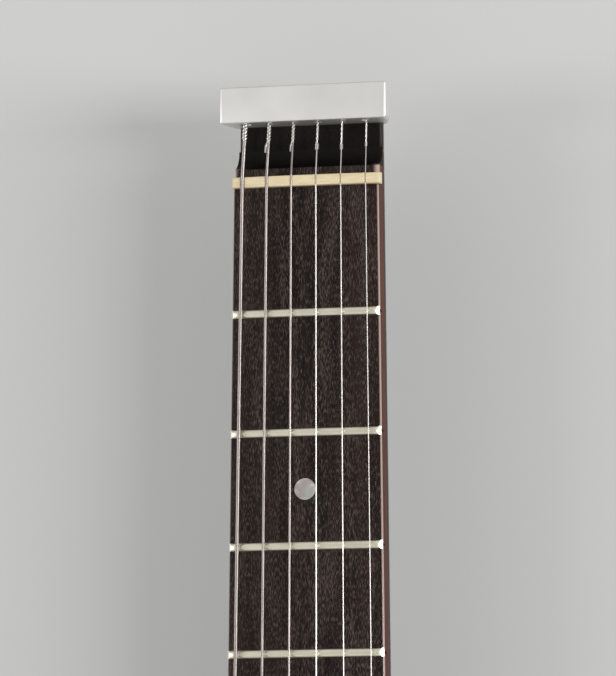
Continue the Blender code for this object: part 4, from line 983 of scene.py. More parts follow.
def nut_surface():
    """For each x a section from the seat up the back, over two eased edges and down the front. The
    nut sits a little to the treble side, where its end stands proud of the board."""
    low, high = -board_half(0.0) - NUT_ENDS[0], board_half(0.0) + NUT_ENDS[1]
    radii = DIAMETERS[:, None] / 2 + 0.00005
    centres = np.array([string_x(n, 0) for n in range(6)])[:, None]
    near = np.array([-1.03, -0.999, -0.9, -0.7, -0.4, 0, 0.4, 0.7, 0.9, 0.999, 1.03])[None]
    even = np.linspace(low + 0.0004, high - 0.0004, 60)
    x = np.sort(np.concatenate([(centres + radii * near).ravel(), even]))
    x = np.concatenate([[low, low + 0.0001, low + 0.00025], x, [high - 0.00025, high - 0.0001, high]])
    ease = np.concatenate([[0.0004, 0.00017, 0.00004], np.zeros(len(x) - 6), [0.00004, 0.00017, 0.0004]])
    top = (nut_tops(x) - ease)[:, None]
    turn = np.linspace(0, np.pi / 2, 5)
    round_edge = 0.00045
    inset = round_edge * (1 - np.cos(turn))
    y = np.concatenate([[0], inset, NUT_THICK - inset[::-1], [NUT_THICK]])
    y = np.broadcast_to(y, (len(x), len(y)))
    down = np.concatenate([[1], round_edge * (1 - np.sin(turn)), round_edge * (1 - np.sin(turn[::-1])), [1]])
    z = np.maximum(top - down, NUT_LOW)
    return grid(np.dstack([np.broadcast_to(x[:, None], y.shape), along(0) + y, z]))


piece("slotted_nut", nut_surface(), BONE, stands_for=["nut"], angle=50)
print("nut top at", round(float(nut_tops(np.array([0.003]))[0]) * 1000, 2), "mm")

# %% [markdown]
# ## Strings
# Three strings are steel cores wound with fine wire and three are plain. Each ends at the head in
# a ball, and the free end is twisted back round the string to lock it. The winding is a ripple of
# the tube's radius that climbs as a screw, so it is real shape and not a picture of it.

# %% String paths
POST_PLACES = [(-0.027, 0.7027), (-0.027, 0.7287), (-0.027, 0.7547),
               (0.027, 0.7547), (0.027, 0.7287), (0.027, 0.7027)]
POST_WAIST = 0.0027
WRAP_TOP = 0.0385
TWIST_LENGTH = np.array([5.0, 5.6, 5.8, 6.3, 6.7, 6.3]) / 1000
TAIL_LENGTH = np.array([0.5, 2.9, 2.6, 1.8, 1.6, 1.4]) / 1000
STRAND = np.array([0.40, 0.32, 0.255, 0.20, 0.165, 0.13]) / 1000
TWIST_PITCH = np.array([2.1, 2.1, 2.2, 2.6, 2.8, 3.0]) / 1000
WIND_PITCH = np.array([0.40, 0.33, 0.27]) / 1000


def string_points(number, distance):
    """Centre of a string at an array of distances from the nut."""
    distance = np.asarray(distance, float)
    return np.column_stack([string_x(number, distance), along(distance), string_height(number, distance)])


def wrap_points(number):
    """From the saddle to the post and twice round it: a screw of points about the post's axis that
    starts where the string touches the round of the waist."""
    x, at = POST_PLACES[number]
    post = np.array([x, along(at)])
    saddle = np.array([string_x(number, SCALE), along(SCALE)])
    radius = POST_WAIST + SEAM + DIAMETERS[number] / 2
    away = saddle - post
    way = 1 if x > 0 else -1
    start = math.atan2(away[1], away[0]) + way * math.acos(radius / np.linalg.norm(away))
    turn = np.linspace(0, 4 * np.pi, 97)
    angle = start + way * turn
    height = WRAP_TOP - (DIAMETERS[number] + 0.0005) * turn / (2 * np.pi)
    return np.column_stack([post[0] + radius * np.cos(angle), post[1] + radius * np.sin(angle), height])


def resampled(path, step):
    """Points every step along a path, by linear interpolation over its running length."""
    length = np.concatenate([[0], np.cumsum(np.linalg.norm(np.diff(path, axis=0), axis=1))])
    at = np.linspace(0, length[-1], int(length[-1] / step) + 1)
    return np.column_stack([np.interp(at, length, path[:, i]) for i in range(3)]), at


def wound(path, radius, pitch, sides=8, depth=0.11, samples=4, up=(0, 0, 1)):
    """A wound string: the radius falls between the turns as depth times the square of a cosine of
    half the screw's angle, which grows with the length over the pitch and with the angle round."""
    points, at = resampled(path, pitch / samples)
    angle = np.linspace(0, 2 * np.pi, sides, endpoint=False)
    phase = 2 * np.pi * at[:, None] / pitch - angle[None]
    ripple = radius * (1 - depth * np.cos(phase / 2) ** 2)
    return sweep(points, ripple, sides, up)


def speaking_path(number):
    """From the end of the lock twist over nut and saddle to the post, as points."""
    start = FACE + TWIST_LENGTH[number]
    places = np.concatenate([[start, start + 0.0010, -NUT_THICK - 0.0008, -NUT_THICK - 0.0002, -0.0002],
                             np.linspace(0.002, SCALE - 0.001, 20), [SCALE]])
    return np.vstack([string_points(number, places), wrap_points(number)])


print("string 6 at the saddle:", string_points(0, SCALE).round(4).tolist())

# %% [markdown]
# A string is a tube swept along its path. The wound ones need points every quarter of a turn of
# their winding, so that the ripple reads as wire, while the plain ones need only a few.

# %% Strings from twist to post
for number, name in enumerate(STRING_NAMES):
    path = speaking_path(number)
    radius = DIAMETERS[number] / 2
    if number < 3:
        tube = wound(path, radius, WIND_PITCH[number], samples=4 if number < 2 else 3)
        finish, slot = WOUND_METAL, "string_steel"
    else:
        corners = np.linspace(0, 1, 4)[None, :, None]
        fine = path[:-1, None] + (path[1:, None] - path[:-1, None]) * corners[:, :-1]
        tube = sweep(np.vstack([fine.reshape(-1, 3), path[-1:]]), np.full(len(fine) * 3 + 1, radius), 12)
        finish, slot = PLAIN_METAL, "string_steel"
    piece(f"{name}_run", tube, finish, stands_for=[name], angle=60)

# %% [markdown]
# The lock at the ball end is two strands laid round each other, made as two screws half a turn
# apart. On the thick strings the cut end lies beside the string as a stub. On the thin ones it is
# coiled tightly round the string in a small barrel.

# %% Lock twists and ball ends


def lock_strands(number):
    """Two strands about the string's line: centre plus the strand's radius times (cos, sin) of the
    screw's angle, which comes to zero at the end. There the first strand swells into the string."""
    strand = STRAND[number]
    length = TWIST_LENGTH[number] + 0.0030
    s = np.linspace(0, length, 120)
    centre = string_points(number, FACE - 0.0030 + s)
    angle = 2 * np.pi * (s - length) / TWIST_PITCH[number]
    merge = np.clip((s - length) / 0.0010 + 1, 0, 1)
    first = strand * (1 - merge)
    second = strand * (1 - (merge if number == 0 else 0))
    spiral = np.column_stack([np.cos(angle), 0 * s, np.sin(angle)])
    thick = strand + (DIAMETERS[number] / 2 - strand) * merge
    return centre + first[:, None] * spiral, thick, centre - np.reshape(second, (-1, 1)) * spiral


def lock_tail(number):
    """The free end, from the side of the twist: a stub beside a wound string that drifts out to
    touch it, or four tight turns round a plain one that make a barrel."""
    strand = STRAND[number]
    gap = DIAMETERS[number] / 2 + strand
    turns = 0 if number < 3 else 4
    s = np.linspace(0, 1, 14 + 16 * turns)
    centre = string_points(number, FACE + TWIST_LENGTH[number] + TAIL_LENGTH[number] * s)
    reach = strand + (gap - strand) * np.clip(s * (3 + 3 * turns), 0, 1)
    angle = np.pi + 2 * np.pi * turns * s
    return centre + reach[:, None] * np.column_stack([np.cos(angle), 0 * s, np.sin(angle)])


def ball_end(number):
    """A small brass spool with a waist, lying across the pocket on the string's line."""
    spool = turned(soft_profile([(0.0008, -0.0017), (0.0019, -0.0017), (0.0019, -0.0009), (0.0014, -0.0004),
                                 (0.0014, 0.0004), (0.0019, 0.0009), (0.0019, 0.0017), (0.0008, 0.0017)],
                                0.0003), 32)
    place = (string_x(number, BACK), BLOCK_BACK - POCKET_DEPTH + 0.0020, HOLE_HEIGHT)
    return put(spool, place, SWAPPED)


for number, name in enumerate(STRING_NAMES):
    first, thick, second = lock_strands(number)
    shapes = [sweep(first, thick, 10), sweep(second, np.full(len(second), STRAND[number]), 10)]
    if number:
        tail = lock_tail(number)
        up = (0, 0, 1) if number < 3 else (0, 1, 0)
        shapes.append(sweep(tail, np.full(len(tail), STRAND[number]), 10, up))
    piece(f"{name}_lock", join(*shapes), PLAIN_METAL, angle=60)
    piece(f"{name}_ball", ball_end(number), BRASS)
print("strings:", [round(float(d) * 1000, 2) for d in DIAMETERS], "mm")

# %% [markdown]
# ## Neck and body beam
# One stained plank runs from the head to the tail: a round-backed neck that swells through the heel
# into the middle of the body. Its section changes smoothly along it, so it is lofted from sections
# rather than sculpted, and the pockets for the pickup, the truss rod and the tuning deck are carved
# out with exact Booleans, which keep their floors flat and their corners true.

# %% Beam sections
HEEL_START = 0.385
HEEL_END = 0.445
BODY_START = 0.4100
BODY_END = 0.7777
TONGUE_EDGE = 0.0011


def beam_surface(segments=48):
    """Section: half a superellipse of power 2.1 in the neck, a rectangle in the body, mixed by a
    smooth step through the heel. The top corners are rounded behind the board, where they show."""
    distance = np.concatenate([
        [FACE + 0.00002, FACE + 0.0001, FACE + 0.0004, -0.0165, -0.0145, -0.0125, -0.0108, -0.0102],
        np.linspace(-0.010, HEEL_START, 40),
        np.linspace(HEEL_START, HEEL_END, 26)[1:], [BODY_END - 0.0006, BODY_END - 0.0002, BODY_END],
    ])[:, None]
    shrink = np.zeros_like(distance)
    shrink[[0, 1]] = [[0.0001], [0.00003]]
    share = np.clip((distance - HEEL_START) / (HEEL_END - HEEL_START), 0, 1)
    share = share * share * (3 - 2 * share)
    half = board_half(distance) * (1 - share) + BEAM_HALF * share - shrink
    fall = np.minimum(0.0140 + 0.0025 * distance / HEEL_START, 0.0165)
    depth = fall * (1 - share) + BODY_TOP * share - shrink
    turn = np.linspace(0, np.pi, segments + 1)[None]
    across = np.sign(np.cos(turn)) * np.abs(np.cos(turn)) ** (2 / 2.1)
    down = np.abs(np.sin(turn)) ** (2 / 2.1)
    i = np.arange(segments + 1)[None]
    quarter = segments / 4
    plank_x = np.clip(2 - i / quarter, -1, 1)
    plank_z = np.clip(np.minimum(i, segments - i) / quarter, 0, 1)
    x = half * (across * (1 - share) + plank_x * share)
    z = BODY_TOP - depth * (down * (1 - share) + plank_z * share)
    ease = np.where(distance < -0.0105, TONGUE_EDGE, 0.0002) * (1 - share) + 0.0001 * share
    top = BODY_TOP - shrink
    round_off = np.radians([12, 25, 40, 60, 75, 90, 90])[None]
    inset = np.array([0, 0, 0, 0, 0, 0, 0.0002])[None]
    edge_x = (half - ease + ease * np.cos(round_off) - inset)[:, ::-1]
    edge_z = (top - ease + ease * np.sin(round_off))[:, ::-1]
    ring_x = np.hstack([edge_x, x, -edge_x[:, ::-1]])
    ring_z = np.hstack([edge_z, np.minimum(z, top - ease), edge_z[:, ::-1]])
    y = np.broadcast_to(along(distance), ring_x.shape)
    return grid(np.dstack([ring_x, y, ring_z]))


def pocket(outline, low, high, ease=0.0005):
    """A tool for a pocket: its outline up to the face, where it flares to ease the pocket's edge,
    and on above it."""
    out = outward(outline)
    levels = [(0, low), (0, high - ease), (ease, high + 0.00001), (ease, high + 0.004)]
    return grid(np.array([
        np.column_stack([outline + out * flare, np.full(len(outline), height)]) for flare, height in levels
    ]))


DECK_TOP = 0.0300
DECK_BOTTOM = 0.0180
TAIL_INNER = BODY_END - 0.0117
PICKUP_AT = 0.6100


def make_beam():
    """The loft less the pickup's pocket, the open end of the truss channel, the string well above
    the deck and the gear recess under it."""
    def area(start, end, half, corner):
        """Outline of a pocket between two distances from the nut."""
        centre = (0, along((start + end) / 2))
        return box_outline(half, (end - start) / 2, corner, centre)

    pickup = area(PICKUP_AT - 0.0198, PICKUP_AT + 0.0198, 0.0358, 0.003)
    truss = area(0.4300, 0.4623, 0.0033, 0.0015)
    well = area(0.6700, TAIL_INNER, 0.06, 0.0001)
    recess = area(0.6840, TAIL_INNER, 0.06, 0.0001)
    under = put(pocket(recess, -0.040, 0.0, 0.0), (0, 0, DECK_BOTTOM - 0.004))
    return carved(beam_surface(), pocket(pickup, 0.0240, BODY_TOP), pocket(truss, 0.0305, BODY_TOP),
                  pocket(well, DECK_TOP, BODY_TOP, 0.0003), under)


def mark_tongue(beam):
    """pooled, which carries painted shade, rises from 0 at the head block to 1 where the
    tongue runs into the cove. rim is 1 on the round of the tongue's two edges, judged by how far a
    point lies under the top."""
    mesh = beam.data
    points = read(mesh.vertices, "co")
    distance = NUT_FRONT - points[:, 1]
    tongue = distance < -0.0101
    drop = (BODY_TOP - points[:, 2]) / TONGUE_EDGE
    # Painted shade, from none at the block to full at the cove.
    mark(mesh, "pooled", np.clip((distance - FACE) / 0.0060, 0, 1) * tongue * (drop < 0.6))
    mark(mesh, "rim", np.clip(drop / 0.05, 0, 1) * np.clip((1.5 - drop) / 0.4, 0, 1) * tongue)


beam = piece("neck_and_beam", make_beam(), STAINED_WOOD, stands_for=["neck_beam"], angle=32)
mark_tongue(beam)
print("beam", round((BODY_END - FACE) * 1000, 1), "mm from head block to tail")

# %% [markdown]
# ## Body wings
# Two wings are glued to the beam. Their outline is a smooth line through a few points: cutaway,
# horn, waist, lower bout and tail. The outer edge has a large round and the finger windows a small
# one, while the glue face stays sharp, so each point of the outline has its own edge radius.

# %% Body wings
WING_LINE = np.array([
    (0.1421, 0.0), (0.136, 0.036), (0.040, 0.200), (0.0, 0.465), (0.040, 0.720), (0.158, 0.732),
    (0.313, 0.643), (0.476, 0.821), (0.640, 0.965), (0.780, 1.0), (0.900, 0.965), (0.973, 0.850),
    (1.0, 0.607), (1.0, 0.0),
])
BODY_HALF = 0.1
GLUE_LINE = BEAM_HALF + 0.00002
WINDOW_START = 0.6820
WINDOW_END = 0.7620
WINDOW_REACH = 0.0860


def wing_outline():
    """The outer line from the cutaway to the tail, then back along the glue face and round the
    window, with an edge radius for each point."""
    x = GLUE_LINE + (BODY_HALF - GLUE_LINE) * WING_LINE[:, 1]
    y = along(BODY_START + (BODY_END - BODY_START) * WING_LINE[:, 0])
    bend = smooth_line(np.column_stack([x, y])[1:-1], 14)
    outer = np.vstack([[x[0], y[0]], bend, [x[-1], y[-1]]])
    near, far = along(WINDOW_START), along(WINDOW_END)
    window = eased([(GLUE_LINE, far), (WINDOW_REACH, far), (WINDOW_REACH, near), (GLUE_LINE, near)],
                   0.008, 8, closed=False)
    outline = np.vstack([outer, window])
    edge = np.concatenate([np.full(len(outer), 0.004), np.full(len(window), 0.0010)])
    edge[[0, len(outer) - 1, len(outer), -1]] = 0.00002
    return outline[::-1], edge[::-1]


def wing_surface():
    """The plate of the outline, kept on its own side of the glue line where its edge pulls in."""
    outline, edge = wing_outline()
    rings = wall(outline, 0.0, BODY_TOP, edge, steps=6)
    glued = outline[:, 0] < GLUE_LINE + 1e-6
    rings[..., 0] = np.where(glued, GLUE_LINE, np.maximum(rings[..., 0], GLUE_LINE))
    parts = [grid(rings, caps=False), cap([rings[0, :, :2]], 0.0), cap([rings[-1, :, :2]], BODY_TOP)]
    return join(*parts)


CONTROL_X = 0.0630
CONTROL_AT = 0.6000
JACK_AT = 0.6260
JACK_HEIGHT = 0.0200
JACK_SEAT = 0.0870
CAVITY = ((0.0490, 0.0770), (0.5880, 0.6400))


CAVITY_CENTRE = (sum(CAVITY[0]) / 2, along(sum(CAVITY[1]) / 2))
CAVITY_HALF = np.array([CAVITY[0][1] - CAVITY[0][0], CAVITY[1][1] - CAVITY[1][0]]) / 2


def at_jack(surface, x=0):
    """Lay a surface on its side on the jack's line, with its own Z to the treble side."""
    return put(surface, (x, along(JACK_AT), JACK_HEIGHT), SIDEWAYS)


def control_tools():
    """Pockets of the treble wing: cavity, cover ledge, shaft hole, jack hole and jack cup."""
    cavity = plate(box_outline(*CAVITY_HALF, 0.003, CAVITY_CENTRE), -0.002, 0.0320, 0.0)
    ledge = plate(box_outline(*CAVITY_HALF + 0.0035, 0.0035, CAVITY_CENTRE), -0.002, 0.0026, 0.0)
    shaft = plate(circle(0.0040, 40, (CONTROL_X, along(CONTROL_AT))), 0.030, 0.045, 0.0)
    barrel = at_jack(plate(circle(0.0053, 40), 0.074, 0.090, 0.0))
    cup = at_jack(plate(circle(0.0100, 64), JACK_SEAT, 0.110, 0.0))
    return cavity, ledge, shaft, barrel, cup


piece("treble_body_wing", carved(wing_surface(), *control_tools()), STAINED_WOOD,
      stands_for=["treble_wing"], angle=32)
piece("bass_body_wing", mirrored(wing_surface(), 0), STAINED_WOOD,
      stands_for=["bass_wing"], angle=32)
print("body", round((BODY_END - BODY_START) * 1000, 1), "mm long,", 2000 * BODY_HALF, "mm wide")

# %% [markdown]
# ## Bridge
# A bar on two height posts carries six saddles. Each saddle is a small block with a ridge and a
# string notch, held by a screw from behind, so it can be moved to tune its string's length.

# %% Bridge
BRIDGE_LOW = 0.0430
BRIDGE_HIGH = 0.0480
STUD_X = 0.0370
BRIDGE_Y = along(SCALE)


def slotted_head(radius, height, slot=0.0005):
    """A screw head from height 0 up: a low disc under two half discs that leave a slot."""
    half = circle(radius, 48)
    half = half[half[:, 1] > slot]
    disc = plate(circle(radius), 0, 0.6 * height, 0.00005)
    top = plate(half, 0.5 * height, height, 0.00015, steps=2)
    return join(disc, top, mirrored(top, 1))


def bridge_bar():
    """A round-ended bar with a hole for each height post."""
    outline = eased([(0.043, -0.00575), (0.043, 0.00575), (-0.043, 0.00575), (-0.043, -0.00575)], 0.0055, 10)
    holes = [circle(0.0028, 40, (side * STUD_X, 0)) for side in (-1, 1)]
    return put(plate(outline, BRIDGE_LOW, BRIDGE_HIGH, 0.0007, holes), (0, BRIDGE_Y, 0))


def saddle(number):
    """Side view of the saddle, extruded across: a ramp up to the ridge and down behind it."""
    peak = string_height(number, SCALE) - DIAMETERS[number] / 2 - 0.0001
    outline = eased([(-0.0035, 0.0475), (0.0035, 0.0475), (0.0035, 0.0484), (0.0004, peak),
                     (-0.0004, peak), (-0.0035, 0.0488)], 0.0003, 3)
    block = plate(outline, -0.0037, 0.0037, 0.0003)
    return put(block, (string_x(number, SCALE), BRIDGE_Y, 0), SIDEWAYS)


def saddle_screw(number):
    """The head that looks out of the back of the bar and sets the string's length."""
    head = slotted_head(0.0014, 0.0012, 0.0003)
    return put(head, (string_x(number, SCALE), BRIDGE_Y - 0.00575, 0.0455), TAILWARD)


piece("bridge_beam", bridge_bar(), NICKEL, stands_for=["bridge_bar"])
for number in range(6):
    piece(f"saddle_{6 - number}", saddle(number), NICKEL)
    piece(f"saddle_screw_{6 - number}", saddle_screw(number), NICKEL)
for side, name in ((-1, "bass"), (1, "treble")):
    stud = turned(soft_profile([
        (0.0004, 0.0086), (0.0023, 0.0088), (0.0025, 0.0084), (0.0025, 0.0027), (0.0080, 0.0027),
        (0.0080, 0.0007), (0.0030, 0.0007), (0.0030, -0.018), (0.0004, -0.018),
    ], 0.0004), 64, 1 + 0.012 * np.cos(20 * np.linspace(0, 2 * np.pi, 64, endpoint=False))[None])
    piece(f"height_post_{name}", put(stud, (side * STUD_X, BRIDGE_Y, BODY_TOP)), NICKEL,
          stands_for=[f"bridge_stud_{name}"])
print("saddle ridges", [round(string_height(n, SCALE) * 1000, 1) for n in range(6)], "mm high")

# %% [markdown]
# ## Pickup and controls
# The pickup is a coil under a moulded cover, with a slotted pole screw under each string. The
# volume knob is fluted for grip and turns with its shaft, so both ride on their own body.

# %% Pickup
PICKUP_TOP = 0.0474


def pickup_cover():
    """A moulded cover: a rounded box with well rounded upper edges."""
    outline = box_outline(0.035, 0.019, 0.004, (0, along(PICKUP_AT)), 8)
    return plate(outline, 0.0243, PICKUP_TOP, 0.0018, steps=6)


def pole(number):
    """A pole screw under its string, on the neck's side of the cover."""
    place = (string_x(number, PICKUP_AT), along(PICKUP_AT) + 0.0095, PICKUP_TOP)
    return put(slotted_head(0.0023, 0.0006), place)


piece("pickup_cover", pickup_cover(), BLACK, stands_for=["pickup"])
piece("pole_screws", join(*[pole(number) for number in range(6)]), NICKEL)

# %% [markdown]
# The volume knob turns with its shaft, while the pot and its nut stay in the wing. Flutes could be
# cut one by one, but a radius that dips with the angle gives all 24 at once, evenly spaced.

# %% Volume control


def at_control(surface):
    """Stand a surface on the body's top, on the axis of the volume shaft."""
    return put(surface, (CONTROL_X, along(CONTROL_AT), BODY_TOP))


def knob_surface():
    """A fluted cylinder: along the grip the radius is multiplied by one less a small share of the
    eighth power of a sine, which cuts 24 narrow flutes; skirt and top stay round."""
    profile = soft_profile([(0.0004, 0.0172), (0.0062, 0.0172), (0.0066, 0.0175), (0.0078, 0.0175),
                            (0.0085, 0.0168), (0.0087, 0.0056), (0.0095, 0.0048), (0.0095, 0.0031),
                            (0.0034, 0.0031), (0.0034, 0.0122), (0.0004, 0.0122)], 0.0005, 3)
    sides = 144
    angle = np.linspace(0, 2 * np.pi, sides, endpoint=False)
    grip = np.clip((profile[:, 1] - 0.0054) / 0.0008, 0, 1) * (profile[:, 0] > 0.0076)
    flute = 1 - 0.05 * np.sin(12 * angle) ** 8
    return turned(profile, sides, 1 + grip[:, None] * (flute[None] - 1))


pot = join(
    turned(soft_profile([(0.0034, 0.0022), (0.0037, 0.0022), (0.0037, -0.0083), (0.0082, -0.0083),
                         (0.0082, -0.0193), (0.0004, -0.0193)], 0.0002), 48),
    plate(circle(0.0060, 6), 0.0006, 0.0019, 0.0002, [circle(0.0038, 36)]),
    plate(circle(0.0068, 48), 0.0001, 0.0005, 0.0001, [circle(0.0038, 36)]),
)
piece("volume_pot_and_nut", at_control(pot), STEEL, stands_for=["volume_pot"])
piece("fluted_knob", at_control(knob_surface()), BLACK, "volume", ["volume_knob"])
line = plate(box_outline(0.0004, 0.0026, 0.0002, (0, 0.0038)), 0.0171, 0.0174, 0.0001)
piece("knob_pointer", at_control(line), IVORY, "volume")
refinish("volume_shaft", BRASS)
refinish("truss_rod", STEEL)
print("knob with 24 flutes, its pointer and its shaft")

# %% [markdown]
# The jack is a threaded barrel with a nut and a washer, seated in a cup in the side. The cover over
# the control cavity lies in a ledge with a screw in each corner. A strap button is turned, with a
# screw sunk in its face, and the same button serves tail and horn.

# %% Jack, cover and strap buttons
jack = join(
    turned(soft_profile([(0.0032, -0.018), (0.0032, 0.0018), (0.0086, 0.0018), (0.0090, 0.0014),
                         (0.0090, 0.0003), (0.0050, 0.0003), (0.0050, -0.023), (0.0004, -0.023),
                         (0.0004, -0.018)], 0.0002), 64),
    plate(circle(0.0065, 6), 0.0017, 0.0030, 0.0002, [circle(0.0046, 36)]),
    plate(circle(0.0045, 48), 0.0017, 0.0034, 0.0002, [circle(0.0033, 36)]),
)
piece("jack_socket", at_jack(jack, JACK_SEAT), NICKEL, stands_for=["output_jack"])

cover_half = CAVITY_HALF + 0.0032
corners = np.array([(1, 1), (-1, 1), (-1, -1), (1, -1)]) * (cover_half - 0.004) + CAVITY_CENTRE
holes = [circle(0.0019, 24, corner) for corner in corners]
cover = plate(box_outline(*cover_half, 0.0032, CAVITY_CENTRE, 6), SEAM, 0.0023, 0.0004, holes)
piece("cavity_cover", cover, BLACK, stands_for=["control_cover"])
screw_head = slotted_head(0.0017, 0.0012, 0.0003)
screws = [put(screw_head, (*corner, 0.0016), DOWNWARD) for corner in corners]
piece("cover_screws", join(*screws), BLACK_STEEL)

HORN_X = BEAM_HALF + 0.056 * WING_LINE[3, 1]
BUTTON_FLOOR = 0.0108
BUTTONS = {
    "tail": ((0, along(BODY_END) - SEAM, 0.0240), TAILWARD),
    "horn": ((-HORN_X, along(BODY_START) + SEAM, 0.0200), HEADWARD),
}
button = turned(soft_profile([
    (0.0004, BUTTON_FLOOR), (0.0031, BUTTON_FLOOR), (0.0034, 0.0130), (0.0048, 0.0135), (0.0062, 0.0134),
    (0.0070, 0.0126), (0.0070, 0.0115), (0.0042, 0.0086), (0.0040, 0.0050), (0.0048, 0.0024),
    (0.0065, 0.0010), (0.0065, 0.0001), (0.0017, 0.0001), (0.0017, -0.0150), (0.0004, -0.0180),
], 0.0004, 5), 64)
sunk_head = put(slotted_head(0.0027, 0.0020, 0.0004), (0, 0, BUTTON_FLOOR))
for name, seat in BUTTONS.items():
    piece(f"{name}_button", put(button, *seat), NICKEL, stands_for=[f"strap_button_{name}"])
    piece(f"{name}_button_screw", put(sunk_head, *seat), STEEL)
print("strap buttons:", *BUTTONS)

# %% [markdown]
# ## Tuning machines
# A key turns a worm, and the worm turns a gear on the string post, fourteen turns to one. Worm and
# gear are worked out from the same pitch, so they stay in mesh at every angle. Key and post ride on
# their own bodies.

# %% Worms and keys
WORM_Z = 0.0133
MESH_DISTANCE = 0.00665
WORM_LEAD = math.pi * 0.0006
WORM_HALF = 1.5 * WORM_LEAD + 0.0006
KEY_NECK = 0.0225
BUTTON_LENGTH = 0.0160


def thread_share(turn):
    """Height of the thread, 0 to 1, in one turn: a flat crest in the middle with sloped flanks."""
    off = np.abs(turn - np.floor(turn) - 0.5)
    share = np.clip((0.26 - off) / 0.14, 0, 1)
    return share * share * (3 - 2 * share)


def key_surface(side, sides=24):
    """Rings carried along the key: stub, worm, shaft and button. On the worm the radius follows the
    thread, whose phase grows with the reach over the lead and falls with the angle round."""
    angle = np.linspace(0, 2 * np.pi, sides, endpoint=False)[None]
    worm = np.linspace(-1.5 * WORM_LEAD, 1.5 * WORM_LEAD, 73)[:, None]
    thread = 0.0016 + 0.0011 * thread_share(side * worm / WORM_LEAD - angle / (2 * np.pi))
    ends = np.array([(-WORM_HALF - 0.0023, 0.0009), (-WORM_HALF - 0.0020, 0.0012), (-WORM_HALF, 0.0012),
                     (-WORM_HALF, 0.0015), (-WORM_HALF + 0.0001, 0.0016)])
    shaft = np.array([(WORM_HALF - 0.0001, 0.0016), (WORM_HALF, 0.0015), (KEY_NECK - 0.0004, 0.0015)])
    button = smooth_line([
        (KEY_NECK, 0.0016, 0.0016), (KEY_NECK + 0.0010, 0.0026, 0.0022), (KEY_NECK + 0.0035, 0.0061, 0.0029),
        (KEY_NECK + 0.0085, 0.0075, 0.0031), (KEY_NECK + 0.0125, 0.0060, 0.0028),
        (KEY_NECK + 0.0152, 0.0031, 0.0019), (KEY_NECK + BUTTON_LENGTH, 0.0010, 0.0007),
    ], 6)
    power = 2 / 2.6
    round_y = np.sign(np.cos(angle)) * np.abs(np.cos(angle)) ** power
    round_z = np.sign(np.sin(angle)) * np.abs(np.sin(angle)) ** power
    reach = np.concatenate([ends[:, 0], worm[:, 0], shaft[:, 0], button[:, 0]])
    radius = np.vstack([np.broadcast_to(ends[:, 1:], (len(ends), sides)), thread,
                        np.broadcast_to(shaft[:, 1:], (len(shaft), sides))])
    y = np.vstack([radius * np.cos(angle), button[:, 1:2] * round_y])
    z = np.vstack([radius * np.sin(angle), button[:, 2:3] * round_z])
    x = np.broadcast_to(side * reach[:, None], y.shape)
    return grid(np.dstack([x, y, z]))


for number, (x, at) in enumerate(POST_PLACES):
    name = 6 - number
    key = put(key_surface(1 if x > 0 else -1), (x, along(at) + MESH_DISTANCE, WORM_Z))
    piece(f"worm_and_key_{name}", key, NICKEL, f"key_{name}", [f"tuner_key_{name}"], angle=45)
print("worm lead", round(WORM_LEAD * 1000, 3), "mm")

# %% [markdown]
# A post carries its gear under the deck, and both turn together, one turn for fourteen of the key.
# The teeth could be cut by Booleans, but stepping the radius round the circle gives a cleaner gear,
# and turning the profile with its height leans the teeth to the worm's thread.

# %% Posts and gears
GEAR_PITCH = 0.0042
TEETH = 14


def post_surface():
    """The post above its gear: a knurled cap, a waist for the winding and a collar on the deck."""
    profile = soft_profile([
        (0.0004, 0.0122), (0.0022, 0.0125), (0.0031, 0.0124), (0.0034, 0.0119), (0.0034, 0.0105),
        (0.0027, 0.0098), (0.0027, 0.0037), (0.0040, 0.0025), (0.0040, 0.0003), (0.0028, 0.0003),
        (0.0028, -0.0185), (0.0024, -0.0196), (0.0004, -0.0196),
    ], 0.0003)
    angle = np.linspace(0, 2 * np.pi, 72, endpoint=False)
    cap_share = ((profile[:, 1] > 0.0106) & (profile[:, 0] > 0.0032)).astype(float)
    return turned(profile, 72, 1 + 0.02 * cap_share[:, None] * np.cos(18 * angle)[None])


def gear_surface(x, at):
    """Fourteen teeth: within a tooth's share of the circle the radius steps from root to tip and
    back along sloped flanks. The whole profile turns with height by the worm's lead angle."""
    share = np.linspace(0, 1, 9)[:-1]
    radius = np.interp(share, [0, 0.2, 0.4, 0.6, 0.8, 1],
                       np.array([0.0034, 0.0034, 0.0047, 0.0047, 0.0034, 0.0034]))
    radius = np.tile(radius, TEETH)
    step = 2 * np.pi / TEETH
    angle = np.pi / 2 + (np.arange(TEETH * 8) / 8) * step
    lean = WORM_LEAD / (2 * np.pi * 0.0022) / GEAR_PITCH
    levels = np.linspace(-0.0020, 0.0020, 7)[:, None]
    ease = np.array([0.94, 0.99, 1, 1, 1, 0.99, 0.94])[:, None]
    turned_by = angle[None] + lean * levels
    ring = radius[None] * ease
    height = np.broadcast_to(levels, ring.shape)
    rings = np.dstack([ring * np.cos(turned_by), ring * np.sin(turned_by), height])
    return put(grid(rings), (x, along(at), WORM_Z))


for number, (x, at) in enumerate(POST_PLACES):
    name = 6 - number
    piece(f"string_post_{name}", put(post_surface(), (x, along(at), DECK_TOP)), NICKEL,
          f"post_{name}", [f"tuner_post_{name}"])
    screw = put(slotted_head(0.0021, 0.0010, 0.0003), (x, along(at), 0.0104), DOWNWARD)
    piece(f"gear_{name}", join(gear_surface(x, at), screw), BRASS, f"post_{name}")
print("gears of", TEETH, "teeth")

# %% [markdown]
# Each plate carries three machines. Its ears are folded down and hold the worms, and small screws
# hold it to the underside of the deck.

# %% Machine plates
PLATE_TOP = 0.0177
PLATE_BOTTOM = 0.0162
EAR_HALF = 0.00075


